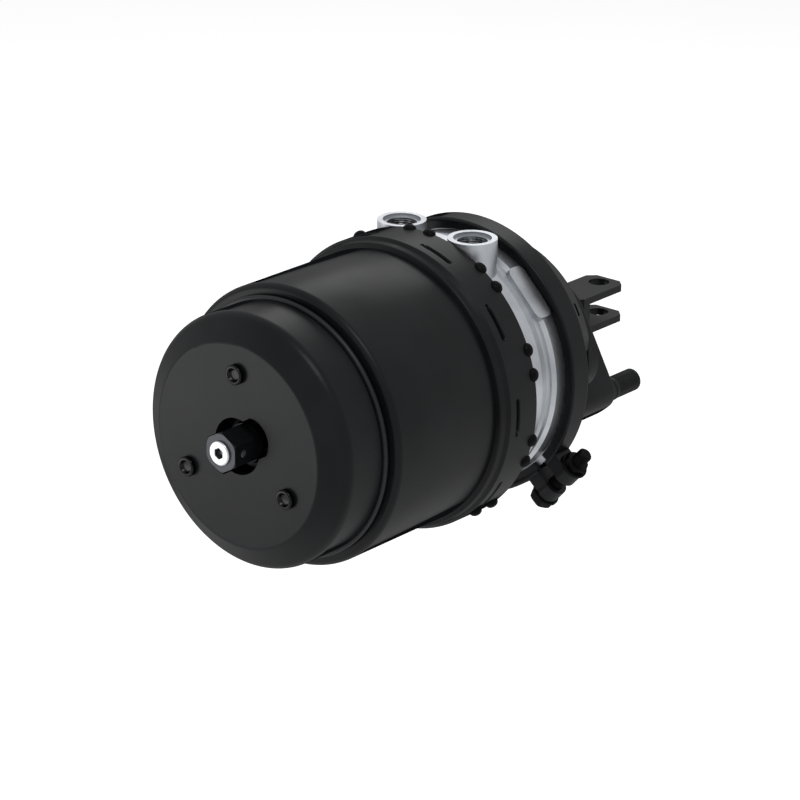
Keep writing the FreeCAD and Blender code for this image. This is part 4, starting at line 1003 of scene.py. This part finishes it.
def pale_floor():
    """Matt paper, which the camera and reflections see a little brighter than it is lit."""
    corners = [(-1, -1), (1, -1), (1, 1), (-1, 1)]
    mesh = bpy.data.meshes.new("floor")
    points = [(x * FLOOR_SIZE / 2, y * FLOOR_SIZE / 2, -FLOOR_DEPTH) for x, y in corners]
    mesh.from_pydata(points, [], [(0, 1, 2, 3)])
    floor = bpy.data.objects.new("floor", mesh)
    bpy.context.scene.collection.objects.link(floor)
    material = bpy.data.materials.new("matt_white_paper")
    material.use_nodes = True
    tree = material.node_tree
    tree.nodes.clear()
    paper = put(tree, "ShaderNodeBsdfDiffuse", sockets={"Color": tone(0xF4F4F4)})
    white = put(tree, "ShaderNodeEmission", sockets={"Color": WHITE, "Strength": FLOOR_GLOW})
    both = put(tree, "ShaderNodeAddShader", links={0: paper, 1: white})
    mix = put(tree, "ShaderNodeMixShader", links={0: seen_directly(tree), 1: paper, 2: both})
    put(tree, "ShaderNodeOutputMaterial", links={"Surface": mix})
    mesh.materials.append(material)


def seen_directly(tree):
    """1 where the camera, a reflection or a clear surface shows the background."""
    rays = put(tree, "ShaderNodeLightPath").outputs
    larger = {"operation": "MAXIMUM"}
    first = put(tree, MATH, larger, links={0: rays["Is Camera Ray"], 1: rays["Is Glossy Ray"]})
    return put(tree, MATH, larger, links={0: first, 1: rays["Is Transmission Ray"]})


def studio_world():
    """An even white fill, seen as plain white behind the object."""
    world = bpy.data.worlds.new("studio")
    bpy.context.scene.world = world
    world.use_nodes = True
    tree = world.node_tree
    tree.nodes.clear()
    fill = put(tree, "ShaderNodeBackground", sockets={"Color": WHITE, "Strength": FILL_LEVEL})
    white = put(tree, "ShaderNodeBackground", sockets={"Color": WHITE, "Strength": 1.0})
    mix = put(tree, "ShaderNodeMixShader", links={0: seen_directly(tree), 1: fill, 2: white})
    put(tree, "ShaderNodeOutputWorld", links={"Surface": mix})


# Lamps: place, point they face, width and height in metres, and power in watts
LAMPS = {
    "key": ((-1.15, -1.15, 2.45), (-0.16, 0, 0), 1.2, 0.9, 23),
    "ridge": ((1.42, 0.85, 1.25), (-0.16, 0, 0), 1.2, 0.6, 7.5),
    "low_front": ((-1.05, 0.72, -0.2), (-0.33, 0, 0), 0.7, 0.5, 3.2),
}


def softbox(name, place, target, width, height, power):
    lamp = bpy.data.lights.new(name, "AREA")
    lamp.shape = "RECTANGLE"
    lamp.size = width
    lamp.size_y = height
    lamp.energy = power
    holder = bpy.data.objects.new(name, lamp)
    bpy.context.scene.collection.objects.link(holder)
    holder.location = place
    holder.rotation_mode = "QUATERNION"
    holder.rotation_quaternion = (Vector(target) - Vector(place)).to_track_quat("-Z", "Y")


# Camera: the photo's viewing angle, its distance in metres and its long lens
AZIMUTH = math.radians(-50.118)
ELEVATION = math.radians(20.741)
ROLL = math.radians(0.61)
DISTANCE = 2.2765
AIM = Vector((-0.16535, 0, -0.01386))
FOCAL_PIXELS = 3458.5
PHOTO_PIXELS = 800
SENSOR = 36.0


def photo_camera():
    flat = math.cos(ELEVATION)
    back = Vector((math.sin(AZIMUTH) * flat, -math.cos(AZIMUTH) * flat, math.sin(ELEVATION)))
    level = Vector((math.cos(AZIMUTH), math.sin(AZIMUTH), 0))
    upright = back.cross(level)
    right = level * math.cos(ROLL) + upright * math.sin(ROLL)
    up = upright * math.cos(ROLL) - level * math.sin(ROLL)
    camera = bpy.data.cameras.new("photo_camera")
    camera.sensor_width = SENSOR
    camera.lens = SENSOR * FOCAL_PIXELS / PHOTO_PIXELS
    camera.clip_start = 0.05
    camera.clip_end = 60
    holder = bpy.data.objects.new("photo_camera", camera)
    bpy.context.scene.collection.objects.link(holder)
    turn = Matrix((right, up, back)).transposed().to_4x4()
    holder.matrix_world = Matrix.Translation(AIM + back * DISTANCE) @ turn
    bpy.context.scene.camera = holder


pale_floor()
studio_world()
photo_camera()
for lamp_name, setting in LAMPS.items():
    softbox(lamp_name, *setting)

scene = bpy.context.scene
scene.view_settings.view_transform = "Standard"
